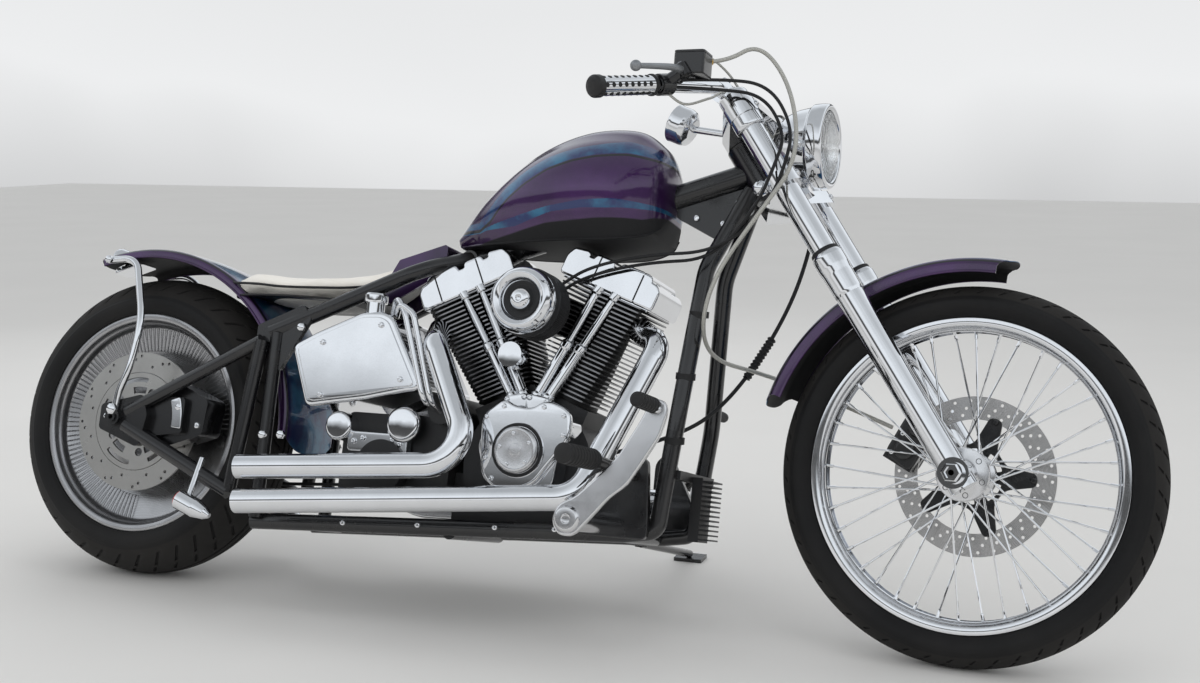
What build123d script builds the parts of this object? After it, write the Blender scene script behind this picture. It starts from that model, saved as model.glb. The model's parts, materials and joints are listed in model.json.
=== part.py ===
from build123d import *
import os
from functools import cache
from math import cos, degrees, radians, sin, sqrt, tan

os.makedirs("parts", exist_ok=True)

# The motorcycle is drawn upright and steered straight ahead, in millimetres:
# X forward from the rear axle, Y to the rider's left, Z up from the line the tyres roll on.
# At the end each piece is turned to the parked pose, leaning on the side stand.

# Stance
LEAN = 16.33            # parked lean towards the left, degrees
STEER_REST = -4.62      # parked steering angle, negative to the right
RAKE = 34.2             # steering axis from the vertical
WHEELBASE = 1705.0
FORK_OFFSET = 50.0      # fork legs ahead of the steering axis
LEG_Y = 118.0           # fork leg from the centre plane

# Wheels
FRONT_R = 340.0
FRONT_CROWN = 42.0      # tread radius across the tyre
FRONT_HALF = 43.0
FRONT_BEAD = FRONT_R - 70.0
FRONT_LIP = FRONT_R - 58.5
REAR_R = 316.0
REAR_CROWN = 95.0
REAR_HALF = 88.0
REAR_BEAD = REAR_R - 98.0
REAR_LIP = REAR_R - 85.0
DISC_R = 146.0
DISC_T = 5.0
DISC_GAP = 5.0          # clear gap beside a brake disc
FRONT_DISC_Y = 62.0
REAR_DISC_Y = -85.0
FRONT_SEAT_Y = (22.0, 25.0, 29.0)   # rim well, inside and outside of the lip
REAR_SEAT_Y = (68.0, 72.0, 77.0)
HUB_HALF = 79.0
SPOKES = 40
SPOKE_R = 2.0
AXLE_R = 10.0
AXLE_BORE_R = 5.0       # hole along each axle, for a lift stand's pin
FRONT_AXLE_HALF = 163.0
REAR_AXLE_HALF = 176.0
RUN_FIT = 0.05          # radial clearance of a shaft in its hole

# Tubes
FRAME_R = 16.0
BACKBONE_R = 25.0
NECK_R = 32.0
STEM_R = 17.0
FORK_TUBE_R = 23.0
SLIDER_R = 26.0
BAR_R = 12.7
GRIP_R = 17.5
PIPE_R = 24.0
PIPE_WALL = 2.0
SWINGARM_Y = 150.0
RAIL_Y = 120.0

# Engine
CRANK = (885.0, 290.0)
CYLINDER_TILTS = {"front": 20.0, "rear": -25.0}
BARREL_R = 55.0
FIN_PITCH = 9.0
FIN_T = 3.0
PUSHROD_R = 9.0

# Heights of the wheel centres, so that each leaning tyre just meets the floor
lean_sin = sin(radians(LEAN))
lean_cos = cos(radians(LEAN))
rake_sin = sin(radians(RAKE))
rake_cos = cos(radians(RAKE))
steer_sin = sin(radians(STEER_REST))
steer_cos = cos(radians(STEER_REST))
REAR_Z = (REAR_R - REAR_CROWN) + REAR_CROWN / lean_cos
front_axle_slope = -lean_sin * steer_cos - lean_cos * rake_sin * steer_sin
front_floor_height = (FRONT_R - FRONT_CROWN) * sqrt(1 - front_axle_slope**2) + FRONT_CROWN
FRONT_Z = (front_floor_height + lean_sin * FORK_OFFSET * steer_sin) / lean_cos
FRONT_Z += FORK_OFFSET * (1 - steer_cos) * rake_sin

REAR_AXLE = Vector(0, 0, REAR_Z)
FRONT_AXLE = Vector(WHEELBASE, 0, FRONT_Z)
STEER_DIR = Vector(-rake_sin, 0, rake_cos)
STEER_FOOT = FRONT_AXLE - FORK_OFFSET * Vector(rake_cos, 0, rake_sin)

# Local frame of the fork: x ahead of the steering axis, z up along it
FORK = Pos(STEER_FOOT) * Rot(0, -RAKE, 0)
STEER_AXIS = Axis(STEER_FOOT, STEER_DIR)


def turned(shape):
    """A piece of the steered front end, at its parked steering angle."""
    return shape.rotate(STEER_AXIS, STEER_REST)


def fork_point(x, y, z):
    """A point given in the fork's frame, in the frame of the motorcycle."""
    return (FORK * Pos(x, y, z)).position


def rod(start, end, radius):
    """A round bar between two points."""
    start, end = Vector(start), Vector(end)
    run = end - start
    return extrude(Plane(start, z_dir=run) * Circle(radius), run.length)


def block(x0, x1, y0, y1, z0, z1):
    """A box between two corners."""
    return Pos((x0 + x1) / 2, (y0 + y1) / 2, (z0 + z1) / 2) * Box(x1 - x0, y1 - y0, z1 - z0)


def side_plate(outline, y0, y1, corner=0.0):
    """A plate cut to an outline of (x, z) points, lying between two values of y."""
    face = Plane((0, y1, 0), x_dir=(1, 0, 0), z_dir=(0, -1, 0)) * make_face(Polyline(*outline, close=True))
    if corner:
        face = fillet(face.vertices(), corner)
    return extrude(face, y1 - y0)


def side_disc(x, z, radius, y0, y1):
    """A disc across the motorcycle."""
    return rod((x, y0, z), (x, y1, z), radius)


def bent_rod(points, bends, radius):
    """A round bar along straight runs joined by tangent arcs."""
    points = [Vector(p) for p in points]
    path = FilletPolyline(*points, radius=bends)
    return sweep(Plane(points[0], z_dir=path % 0) * Circle(radius), path)


def bent_tube(points, bends, radius, wall):
    """A hollow tube along straight runs joined by tangent arcs."""
    points = [Vector(p) for p in points]
    path = FilletPolyline(*points, radius=bends)
    ring = Circle(radius) - Circle(radius - wall)
    return sweep(Plane(points[0], z_dir=path % 0) * ring, path)


def easy_bends(points, share=0.45, most=1000.0):
    """Bend radii that use a share of the shorter run at each corner."""
    points = [Vector(p) for p in points]
    radii = []
    for before, corner, after in zip(points, points[1:], points[2:]):
        runs = (corner - before, after - corner)
        half_turn = radians(runs[0].get_angle(runs[1])) / 2
        radii.append(min(share * min(runs[0].length, runs[1].length) / tan(half_turn), most))
    return radii


def spun(profile, axle, start=0.0, arc=360.0):
    """A profile of (y, radius) lines and arcs turned about a wheel's axis, from an angle downwards."""
    e_r = Vector(cos(radians(start)), 0, sin(radians(start)))
    plane = Plane(axle, x_dir=(0, 1, 0), z_dir=Vector(0, 1, 0).cross(e_r))
    return revolve(plane * make_face(profile), Axis(axle, (0, 1, 0)), arc)


def tyre_profile(radius, crown, half, lip, bead, well, lip_in, lip_out):
    """Half-round tread, bulging walls and a foot that sits in the rim's well and on its lips."""
    shoulder_y = 0.86 * crown
    shoulder_r = radius - crown + sqrt(crown**2 - shoulder_y**2)
    waist_r = (shoulder_r + lip) / 2
    return Curve() + [
        Line((-well, bead), (well, bead)),
        Line((well, bead), (lip_in, lip)),
        Line((lip_in, lip), (lip_out, lip)),
        ThreePointArc((lip_out, lip), (half, waist_r), (shoulder_y, shoulder_r)),
        ThreePointArc((shoulder_y, shoulder_r), (0, radius), (-shoulder_y, shoulder_r)),
        ThreePointArc((-shoulder_y, shoulder_r), (-half, waist_r), (-lip_out, lip)),
        Line((-lip_out, lip), (-lip_in, lip)),
        Line((-lip_in, lip), (-well, bead)),
    ]


# Front wheel

def front_tyre():
    profile = tyre_profile(FRONT_R, FRONT_CROWN, FRONT_HALF, FRONT_LIP, FRONT_BEAD, *FRONT_SEAT_Y)
    return spun(profile, FRONT_AXLE)


def front_rim():
    well, lip_in, lip_out = FRONT_SEAT_Y
    half = [(well, FRONT_BEAD), (lip_in, FRONT_LIP), (lip_out, FRONT_LIP), (lip_out, FRONT_BEAD - 4),
            (18, FRONT_BEAD - 14)]
    outline = half + [(-y, r) for y, r in reversed(half)]
    return spun(Polyline(*outline, close=True), FRONT_AXLE)


def front_hub():
    half = [(AXLE_R + RUN_FIT, 50), (24, 50), (24, 38), (44, 36), (44, 30), (22, 26)]
    outline = [(y, r) for r, y in half] + [(-y, r) for r, y in reversed(half)]
    return spun(Polyline(*outline, close=True), FRONT_AXLE)


def front_spokes():
    """Spokes in two sets, each leaning round the hub to cross the others."""
    spokes = []
    for i in range(SPOKES):
        side = 1 if i % 2 else -1
        sweep_angle = 34 if i % 4 < 2 else -34
        rim_angle = radians(360 * i / SPOKES)
        hub_angle = rim_angle + radians(sweep_angle)
        hub_end = FRONT_AXLE + Vector(40 * cos(hub_angle), side * 33, 40 * sin(hub_angle))
        reach = FRONT_BEAD - 12
        rim_end = FRONT_AXLE + Vector(reach * cos(rim_angle), side * 8, reach * sin(rim_angle))
        spokes.append(rod(hub_end, rim_end, SPOKE_R))
    return spokes


def front_wheel():
    return front_rim() + front_hub() + front_spokes()


def front_disc():
    ring = side_disc(FRONT_AXLE.X, FRONT_Z, DISC_R, FRONT_DISC_Y, FRONT_DISC_Y + DISC_T)
    ring -= side_disc(FRONT_AXLE.X, FRONT_Z, 98, FRONT_DISC_Y - 1, FRONT_DISC_Y + DISC_T + 1)
    arms = [
        Pos(FRONT_AXLE) * Rot(0, 72 * i, 0) * block(30, 100, FRONT_DISC_Y, FRONT_DISC_Y + DISC_T, -14, 14)
        for i in range(5)
    ]
    boss = side_disc(FRONT_AXLE.X, FRONT_Z, 40, 50, FRONT_DISC_Y + DISC_T)
    bore = side_disc(FRONT_AXLE.X, FRONT_Z, 16, 49, FRONT_DISC_Y + DISC_T + 1)
    return ring + arms + boss - bore


# Rear wheel

def rear_tyre():
    return spun(tyre_profile(REAR_R, REAR_CROWN, REAR_HALF, REAR_LIP, REAR_BEAD, *REAR_SEAT_Y), REAR_AXLE)


def rear_wheel():
    """Solid dished wheel with a deep barrel and a bolted belt pulley on the left."""
    well, lip_in, lip_out = REAR_SEAT_Y
    half = [
        (HUB_HALF, AXLE_R + RUN_FIT), (HUB_HALF, 60), (60, 60), (38, 100), (44, REAR_BEAD - 22),
        (56, REAR_BEAD - 14), (lip_out, REAR_BEAD - 4), (lip_out, REAR_LIP), (lip_in, REAR_LIP),
        (well, REAR_BEAD),
    ]
    wheel = spun(Polyline(*half, *[(-y, r) for y, r in reversed(half)], close=True), REAR_AXLE)
    y0, y1 = BELT_Y
    pulley = side_disc(0, REAR_Z, 55, HUB_HALF, y0 - 2) + side_disc(0, REAR_Z, PULLEY_R, y0 - 2, y1 + 2)
    return wheel + pulley - side_disc(0, REAR_Z, AXLE_R + RUN_FIT, 70, y1 + 3)


def rear_disc():
    y0 = REAR_DISC_Y
    ring = side_disc(0, REAR_Z, DISC_R, y0, y0 + DISC_T) - side_disc(0, REAR_Z, 78, y0 - 1, y0 + DISC_T + 1)
    ring += side_disc(0, REAR_Z, 80, y0 + 1, -79) - side_disc(0, REAR_Z, 30, y0, -78)
    return ring


# Belt
PULLEY_R = 112.0
GEARBOX_PULLEY = (652.0, 312.0, 62.0)
BELT_Y = (101.0, 121.0)
BELT_T = 6.0
BELT_GAP = 1.0


def belt_outline(grow):
    x, z, r = GEARBOX_PULLEY
    circles = Pos(0, REAR_Z) * Circle(PULLEY_R + BELT_GAP + grow), Pos(x, z) * Circle(r + grow)
    hull = make_hull(circles[0].edges() + circles[1].edges())
    return extrude(Plane((0, BELT_Y[1], 0), x_dir=(1, 0, 0), z_dir=(0, -1, 0)) * hull, BELT_Y[1] - BELT_Y[0])


def drive_belt():
    return belt_outline(BELT_T) - belt_outline(0)


# Frame: (x, y, z) of the tube centres on the left
BACKBONE = [tuple(fork_point(-10, 0, 700)), (700, 0, 700)]
DOWN_TUBE = [tuple(fork_point(-26, 24, 664)), tuple(fork_point(-168, 70, 566)), (1192, RAIL_Y, 400),
             (1172, RAIL_Y, 192), (1110, RAIL_Y, 182), (330, RAIL_Y, 138)]
SEAT_RAIL = [(700, 26, 700), (634, 102, 664), (330, 136, 516)]
REAR_POST = [(345, 138, 146), (345, 138, 516)]
NECK_Z = (640.0, 758.0)
STEM_Z = (600.0, 800.0)
# Gusset between neck and backbone, (x, z) in the fork's frame
GUSSET = [(-25, 699), (-29, 661), (-126, 613), (-178, 706), (-155, 739)]


def sided(points, side):
    return [(x, side * y, z) for x, y, z in points]


def by_axle(outline):
    """An outline of (x, z) points given from the rear axle."""
    return [(x, REAR_Z + z) for x, z in outline]


@cache
def frame_backbone():
    """Steering neck, backbone and the gusset between them."""
    neck = FORK * Pos(0, 0, (NECK_Z[0] + NECK_Z[1]) / 2) * Cylinder(NECK_R, NECK_Z[1] - NECK_Z[0])
    tube = rod(BACKBONE[0], BACKBONE[1], BACKBONE_R)
    gusset = FORK * side_plate(GUSSET, -7, 7, 6)
    cross = rod((700, -34, 700), (700, 34, 700), FRAME_R + 2)
    bore = FORK * Pos(0, 0, 700) * Cylinder(STEM_R + RUN_FIT, 400)
    return neck + tube + gusset + cross - bore


@cache
def frame_loop(side):
    """Down tube and lower rail of one side."""
    tube = bent_rod(sided(DOWN_TUBE, side), [120, 260, 24, 40], FRAME_R)
    return tube - frame_backbone()


@cache
def frame_rear(side):
    """Seat rail, rear post and the gusset plate that ties them to the swingarm pivot."""
    rail = bent_rod(sided(SEAT_RAIL, side), [120], FRAME_R)
    post = rod(*sided(REAR_POST, side), 14)
    plate_y = sorted((side * 130, side * 142))
    plate = side_plate([(300, 480), (300, 530), (400, 575), (420, 548), (360, 440), (330, 440)], *plate_y, 8)
    return rail + post + plate - frame_backbone() - frame_loop(side)


def frame_cross_tubes():
    """Tubes across the frame under the engine, behind the oil tank and at the swingarm pivot."""
    tubes = [
        rod((400, -RAIL_Y, 142), (400, RAIL_Y, 142), 14),
        rod((1100, -RAIL_Y, 180), (1100, RAIL_Y, 180), 14),
        rod((760, -RAIL_Y, 154), (760, RAIL_Y, 154), 14),
    ]
    loops = frame_loop(1), frame_loop(-1)
    return [tube - loops[0] - loops[1] for tube in tubes]


@cache
def swingarm(side):
    """Triangular swingarm of one side, with its axle plate and front link."""
    y = side * SWINGARM_Y
    upper = rod((20, y, REAR_Z + 14), (318, y, 498), 13)
    lower = rod((20, y, REAR_Z - 14), (285, y, 190), 15)
    link = rod((318, y, 498), (285, y, 190), 14)
    plate_y = sorted((y - 9, y + 9))
    axle_plate = side_plate(by_axle([(-38, -24), (-38, 26), (60, 52), (75, 10), (62, -58)]), *plate_y, 10)
    hole = side_disc(0, REAR_Z, AXLE_R, y - 20, y + 20)
    body = upper + lower + link + axle_plate - hole
    return body - frame_rear(side) - frame_loop(side)


@cache
def rear_axle():
    """Hollow axle with its spacers and nuts."""
    shaft = side_disc(0, REAR_Z, AXLE_R, -REAR_AXLE_HALF, REAR_AXLE_HALF)
    spacers = side_disc(0, REAR_Z, 18, 9 - SWINGARM_Y, -HUB_HALF - 0.6)
    spacers += side_disc(0, REAR_Z, 18, BELT_Y[1] + 2.6, SWINGARM_Y - 9)
    nuts = side_disc(0, REAR_Z, 17, -172, -SWINGARM_Y - 9) + side_disc(0, REAR_Z, 17, SWINGARM_Y + 9, 172)
    return shaft + spacers + nuts - side_disc(0, REAR_Z, AXLE_BORE_R, -200, 200)


# Bodywork

TANK_BACK = 676.0
TANK_FRONT = BACKBONE[0][0] - 162
# Columns: share of the length, half width at the foot and at the waist, z of the foot, waist and crown
TANK_SECTIONS = [
    (0.0, 20, 34, 724, 738, 752),
    (0.151, 62, 84, 722, 770, 842),
    (0.363, 96, 124, 724, 800, 924),
    (0.599, 110, 142, 728, 815, 968),
    (0.835, 108, 140, 734, 820, 972),
    (1.0, 74, 96, 752, 835, 925),
]


def tank_section(share, foot, waist, z_foot, z_waist, z_crown):
    """Half-egg section: flat foot, flared sides and a round crown."""
    x = TANK_BACK + share * (TANK_FRONT - TANK_BACK)
    crown_y = 0.45 * waist
    crown_z = z_crown - 0.18 * (z_crown - z_waist)
    outline = Curve() + [
        Line((-foot, z_foot), (foot, z_foot)),
        Line((foot, z_foot), (waist, z_waist)),
        ThreePointArc((waist, z_waist), (0.84 * waist, (z_waist + crown_z) / 2 + 12), (crown_y, crown_z)),
        ThreePointArc((crown_y, crown_z), (0, z_crown), (-crown_y, crown_z)),
        ThreePointArc((-crown_y, crown_z), (-0.84 * waist, (z_waist + crown_z) / 2 + 12), (-waist, z_waist)),
        Line((-waist, z_waist), (-foot, z_foot)),
    ]
    return Plane((x, 0, 0), x_dir=(0, 1, 0), z_dir=(1, 0, 0)) * make_face(outline)


@cache
def fuel_tank():
    """Teardrop tank with a tunnel that straddles the backbone."""
    body = loft([tank_section(*row) for row in TANK_SECTIONS])
    reach = BACKBONE_R + 6
    start, end = Vector(BACKBONE[1]), Vector(BACKBONE[0])
    tunnel = rod(start, end, reach)
    outline = [(start.X - 60, 600), (start.X - 60, start.Z - 20), (end.X, end.Z), (end.X + 40, 600)]
    below = side_plate(outline, -reach, reach)
    return body - tunnel - below


@cache
def side_cover():
    """Painted panel under the nose of the seat."""
    plate = side_plate([(520, 612), (560, 688), (664, 724), (664, 668), (545, 596)], -62, 62, 6)
    inner = side_plate([(500, 590), (540, 676), (670, 716), (700, 640), (545, 560)], -56, 56)
    return plate - inner - frame_rear(1) - frame_rear(-1) - frame_backbone()


# Columns: x, half width, z of the underside, z of the top
SEAT_SECTIONS = [
    (196, 96, 600, 632),
    (270, 128, 596, 646),
    (360, 132, 592, 640),
    (450, 112, 594, 646),
    (520, 76, 606, 668),
    (576, 44, 640, 692),
]


def seat():
    """Sprung-look solo seat: one padded cushion on its thin base."""
    faces = []
    for x, half, z0, z1 in SEAT_SECTIONS:
        plane = Plane((x, 0, (z0 + z1) / 2), x_dir=(0, 1, 0), z_dir=(1, 0, 0))
        faces.append(plane * RectangleRounded(2 * half, z1 - z0, 0.4 * (z1 - z0)))
    cushion = loft(faces)
    clear = side_disc(0, REAR_Z, FENDER_R + 4, -FENDER_HALF - 4, FENDER_HALF + 4)
    return cushion - clear - side_cover()


# Fenders: radius at the crown and edges, and where each starts and ends round its wheel
FENDER_R = REAR_R + 56.0
FENDER_EDGE_R = FENDER_R - 22.0
FENDER_HALF = 98.0
FENDER_T = 3.0
REAR_FENDER_START = 116.0
REAR_FENDER_ARC = 122.0
FRONT_FENDER_R = FRONT_R + 51.0
FRONT_FENDER_EDGE_R = FRONT_FENDER_R - 31.0
FRONT_FENDER_HALF = 62.0
FRONT_FENDER_START = 165.0
FRONT_FENDER_ARC = 85.0


def fender_profile(half, edge_r, crown_r, shoulder, skin):
    """Curved sheet: upright edges under a flat-arched crown."""
    rise = 0.35 * (crown_r - edge_r)
    low, high = crown_r - shoulder, crown_r - 0.5 * rise
    turn_y, turn_r = half - 0.3 * shoulder, crown_r - 0.35 * shoulder - 0.5 * rise
    outer = Curve() + [
        Line((half, edge_r), (half, low)),
        ThreePointArc((half, low), (turn_y, turn_r), (half - shoulder, high)),
        ThreePointArc((half - shoulder, high), (0, crown_r), (shoulder - half, high)),
        ThreePointArc((shoulder - half, high), (-turn_y, turn_r), (-half, low)),
        Line((-half, low), (-half, edge_r)),
        Line((-half, edge_r), (half, edge_r)),
    ]
    whole = make_face(outer)
    inner = offset(whole, amount=-skin, kind=Kind.INTERSECTION)
    return whole - inner - Pos(0, edge_r) * Rectangle(2 * (half - skin), 2 * skin + 2)


def fender(axle, half, edge_r, crown_r, start, arc):
    face = fender_profile(half, edge_r, crown_r, 0.62 * (crown_r - edge_r), FENDER_T)
    e_r = Vector(cos(radians(start)), 0, sin(radians(start)))
    plane = Plane(axle, x_dir=(0, 1, 0), z_dir=Vector(0, 1, 0).cross(e_r))
    return revolve(plane * face, Axis(axle, (0, 1, 0)), arc)


LUG = ((FENDER_R - 7.7) * cos(radians(21.93)), REAR_Z + (FENDER_R - 7.7) * sin(radians(21.93)))


@cache
def rear_fender():
    """Rear fender with the lugs that bolt it to the frame's posts."""
    sheet = fender(REAR_AXLE, FENDER_HALF, FENDER_EDGE_R, FENDER_R, REAR_FENDER_START, REAR_FENDER_ARC)
    lugs = [rod((LUG[0], side * 95, LUG[1]), (LUG[0], side * 132, LUG[1]), 8) for side in (1, -1)]
    return sheet + lugs - frame_rear(1) - frame_rear(-1)


STRUT_FOOT = (0, 166, REAR_Z + 14)
STRUT = [(-112, 104, REAR_Z + FENDER_R - 34), (-40, 104, REAR_Z + FENDER_R - 28), (34, 160, REAR_Z + 204),
         (24, 166, REAR_Z + 105), (4, 166, REAR_Z + 52), STRUT_FOOT]


def fender_struts():
    """Bent chrome bars from the axle up to the tail of the rear fender, one a side."""
    bars = [(side, bent_rod(sided(STRUT, side), easy_bends(STRUT), 7.5)) for side in (1, -1)]
    return [bar - rear_fender() - swingarm(side) - rear_axle() for side, bar in bars]


# Engine

def engine_point(along, across, tilt, y=0.0):
    """A point given along and across a cylinder's line from the crank."""
    s, c = sin(radians(tilt)), cos(radians(tilt))
    return CRANK[0] + along * s + across * c, y, CRANK[1] + along * c - across * s


def cylinder_frame(tilt, along):
    """Frame on a cylinder's line: x across, y to the left, z away from the crank."""
    return Pos(*engine_point(along, 0, tilt)) * Rot(0, tilt, 0)


BARREL = (148.0, 268.0)
HEAD = (272.0, 372.0)
FIRST_FIN = 158.0
AIR_CLEANER = (903.0, 592.0)
ROCKER = (372.0, 412.0)


def fin(width, depth):
    return extrude(fillet(Rectangle(width, depth).vertices(), 22), FIN_T)


def pushrod_lines(tilt):
    """The two pushrod lines of one cylinder, from lifter block to rocker box."""
    return [(engine_point(134, 0.6 * across, 0.45 * tilt, -90), engine_point(ROCKER[0], across, tilt, -72))
            for across in (-14, 24)]


@cache
def cylinder(tilt):
    """Finned barrel and head of one cylinder, with slots in the fins for the pushrod tubes."""
    core = cylinder_frame(tilt, 0) * Pos(0, 0, (BARREL[0] + HEAD[1]) / 2) * Cylinder(
        BARREL_R, HEAD[1] - BARREL[0])
    fins = []
    along = FIRST_FIN
    while along < HEAD[1] - FIN_T:
        share = (along - FIRST_FIN) / (HEAD[1] - FIRST_FIN)
        width = 122 + 74 * share
        depth = 136 + 28 * share
        fins.append(cylinder_frame(tilt, along) * fin(width, depth))
        along += FIN_PITCH
    return core + fins - [rod(foot, top, PUSHROD_R + 2) for foot, top in pushrod_lines(tilt)]


@cache
def rocker_box(tilt):
    """Two-part chrome rocker box with a castle-like upper edge."""
    frame = cylinder_frame(tilt, 0)
    low, high = ROCKER
    box = frame * Pos(0, 0, (low + high) / 2) * Box(200, 158, high - low)
    box = fillet(box.edges().filter_by(Axis.Y).sort_by_distance(Vector(*CRANK[:1], 0, CRANK[1]))[-2:], 12)
    spots = [(x, side * 79, high - 8) for x in (-66, -22, 22, 66) for side in (1, -1)]
    notches = [frame * Pos(*spot) * Box(22, 16, 18) for spot in spots]
    return box - notches


def pushrod_tubes():
    """Four bright tubes from the lifter blocks to the rocker boxes."""
    lines = [line for tilt in CYLINDER_TILTS.values() for line in pushrod_lines(tilt)]
    return [rod(foot, top, PUSHROD_R) - crankcase() - [rocker_box(tilt) for tilt in CYLINDER_TILTS.values()]
            for foot, top in lines]


@cache
def crankcase():
    """Crankcase with the lifter blocks and the alternator side that meets the primary cover."""
    x, z = CRANK
    case = side_disc(x, z, 132, -72, 78)
    case += block(x - 150, x + 128, -64, 64, z - 122, z - 20)
    case += block(x - 110, x + 100, -62, 62, z, z + 112)
    case += side_disc(x, z, 96, 78, 126)
    for tilt in CYLINDER_TILTS.values():
        case += cylinder_frame(tilt, 0) * Pos(0, 0, 126) * Box(132, 132, 44)
        case += cylinder_frame(0.45 * tilt, 0) * Pos(2, -86, 116) * Box(46, 34, 40)
        case -= cylinder(tilt)
    return case - cylinder(CYLINDER_TILTS["front"])


def cam_cover():
    """Bright cam cover with its round timer cap."""
    x, z = CRANK
    outline = [(x - 78, z + 46), (x - 40, z + 96), (x + 66, z + 100), (x + 104, z + 96), (x + 104, z + 52),
               (x + 84, z + 30), (x + 76, z - 40), (x + 10, z - 62), (x - 62, z - 30)]
    cover = side_plate(outline, -150, -72, 16)
    cap = side_disc(x + 14, z + 26, 41, -168, -150)
    return cover + cap - crankcase()


def primary_cover():
    """Long oval primary drive case on the left."""
    x, z = CRANK
    outline = make_hull((Pos(x, z) * Circle(104)).edges() + (Pos(588, 306) * Circle(126)).edges())
    return extrude(Plane((0, 186, 0), x_dir=(1, 0, 0), z_dir=(0, -1, 0)) * outline, 60)


@cache
def gearbox():
    """Gearbox behind the crankcase, its output pulley and the starter on top."""
    case = block(498, 734, -96, 78, 200, 372)
    case = fillet(case.edges().filter_by(Axis.Y), 22)
    case += side_disc(600, 268, 52, -128, -90)
    x, z, r = GEARBOX_PULLEY
    case += side_disc(x, z, r, BELT_Y[0], BELT_Y[1]) + side_disc(x, z, 30, 70, 126)
    case += side_disc(716, 388, 30, -120, 70)
    return case - crankcase()


def air_cleaner():
    """Ribbed drum with a dished front ring and a centre cap."""
    x, z = AIR_CLEANER
    ribs = [(60 - 4 * (i % 2), 140 + 6 * (i + j)) for i in range(11) for j in (0, 1)]
    front = [(52, 240), (42, 240), (24, 229), (17, 229), (17, 241), (0, 241)]
    outline = [(-y, r) for r, y in [(0, 140)] + ribs + front]
    return spun(Polyline(*outline, close=True), Vector(x, 0, z))


def carburettor():
    """Carburettor and inlet between the cylinders."""
    body = side_disc(902, 592, 34, -140, -60)
    body += block(868, 936, -66, 30, 560, 622)
    return body - cylinder(CYLINDER_TILTS["front"]) - cylinder(CYLINDER_TILTS["rear"])


FRONT_PIPE = [(1080, -52, 570), (1142, -108, 535), (1046, -212, 238), (352, -225, 174)]
REAR_PIPE = [(668, -62, 548), (706, -158, 508), (838, -215, 281), (347, -225, 240)]


def exhaust_pipe(points):
    """Bent exhaust pipe, open at the end, with a flange at the head."""
    pipe = bent_tube(points, [44, 62], PIPE_R, PIPE_WALL)
    return pipe - cylinder(CYLINDER_TILTS["front"]) - cylinder(CYLINDER_TILTS["rear"])


@cache
def oil_tank():
    """Polished oil tank under the seat, with its filler neck."""
    outline = [(397, 485), (602, 570), (677, 421), (560, 398), (439, 377)]
    tank = side_plate(outline, -160, 92, 10)
    neck = rod((556, -134, 540), (556, -134, 592), 19) + rod((556, -134, 586), (556, -134, 600), 23)
    return tank + neck - frame_rear(1) - frame_rear(-1)


OIL_LINES = [
    [(600, -128, 556), (618, -152, 586), (650, -153, 566), (706, -152, 400), (716, -96, 372)],
    [(584, -112, 556), (602, -138, 604), (632, -153, 566), (690, -152, 400), (704, -90, 378)],
]


def oil_lines():
    return [bent_rod(route, easy_bends(route, 0.4, 30), 6) - oil_tank() - gearbox() for route in OIL_LINES]


# Controls

def right_controls():
    """Forward mount, rubber peg and polished brake pedal of the right side."""
    outline = [(1030, 176), (1030, 224), (1096, 320), (1150, 320), (1160, 210), (1160, 176)]
    mount = side_plate(outline, -150, -132, 12)
    bar = rod((1132, -140, 288), (1098, -320, 306), 11)
    peg = rod((1102, -296, 304), (1082, -405, 306), 19)
    pivot = rod((1066, -150, 198), (1066, -300, 198), 22)
    outline = [(1052, 188), (1060, 214), (1100, 262), (1176, 400), (1214, 418), (1222, 400), (1196, 380),
               (1122, 246), (1084, 190)]
    arm = side_plate(outline, -308, -296, 4)
    pad = rod((1204, -300, 404), (1190, -372, 410), 13)
    return mount - frame_loop(-1) + bar + peg + pivot + arm + pad


def left_controls():
    """Forward mount, rubber peg and shift lever of the left side."""
    mount = side_plate([(1080, 176), (1080, 330), (1104, 352), (1160, 250), (1160, 176)], 132, 150, 12)
    bar = rod((1100, 140, 306), (1092, 330, 306), 11)
    peg = rod((1093, 290, 306), (1082, 405, 306), 19)
    pivot = rod((1120, 140, 236), (1120, 262, 236), 14)
    arm = rod((1120, 256, 236), (1158, 256, 446), 8)
    toe = rod((1158, 250, 446), (1158, 330, 446), 11)
    return mount - frame_loop(1) + bar + peg + pivot + arm + toe


def regulator():
    """Finned regulator on the front of the frame."""
    body = block(1206, 1226, -34, 34, 180, 300)
    fins = [block(1226, 1246, -34, 34, z, z + 3) for z in range(184, 298, 9)]
    bracket = block(1186, 1206, -RAIL_Y + 4, RAIL_Y - 4, 290, 306)
    return body + fins + bracket - frame_loop(1) - frame_loop(-1)


def oil_filter():
    """Bright oil filter across the front of the crankcase."""
    return rod((1040, 0, 236), (1140, 0, 236), 36) + rod((990, 0, 236), (1050, 0, 236), 20) - crankcase()


def rear_caliper():
    """Rear brake caliper and its arm on the axle."""
    body = side_plate(by_axle([(86, -58), (70, 32), (120, 84), (196, 52), (190, -20)]), -128, -62, 14)
    arm_outline = by_axle([(-30, -20), (-30, 25), (60, 52), (150, 52), (150, -20), (60, -34)])
    arm = side_plate(arm_outline, 9 - SWINGARM_Y, -124, 8)
    low, high = REAR_DISC_Y - DISC_GAP, REAR_DISC_Y + DISC_T + DISC_GAP + 1
    slot = side_disc(0, REAR_Z, DISC_R + DISC_GAP, low, high)
    return body + arm - slot - side_disc(0, REAR_Z, 18, -SWINGARM_Y, -60) - swingarm(-1)


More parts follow.
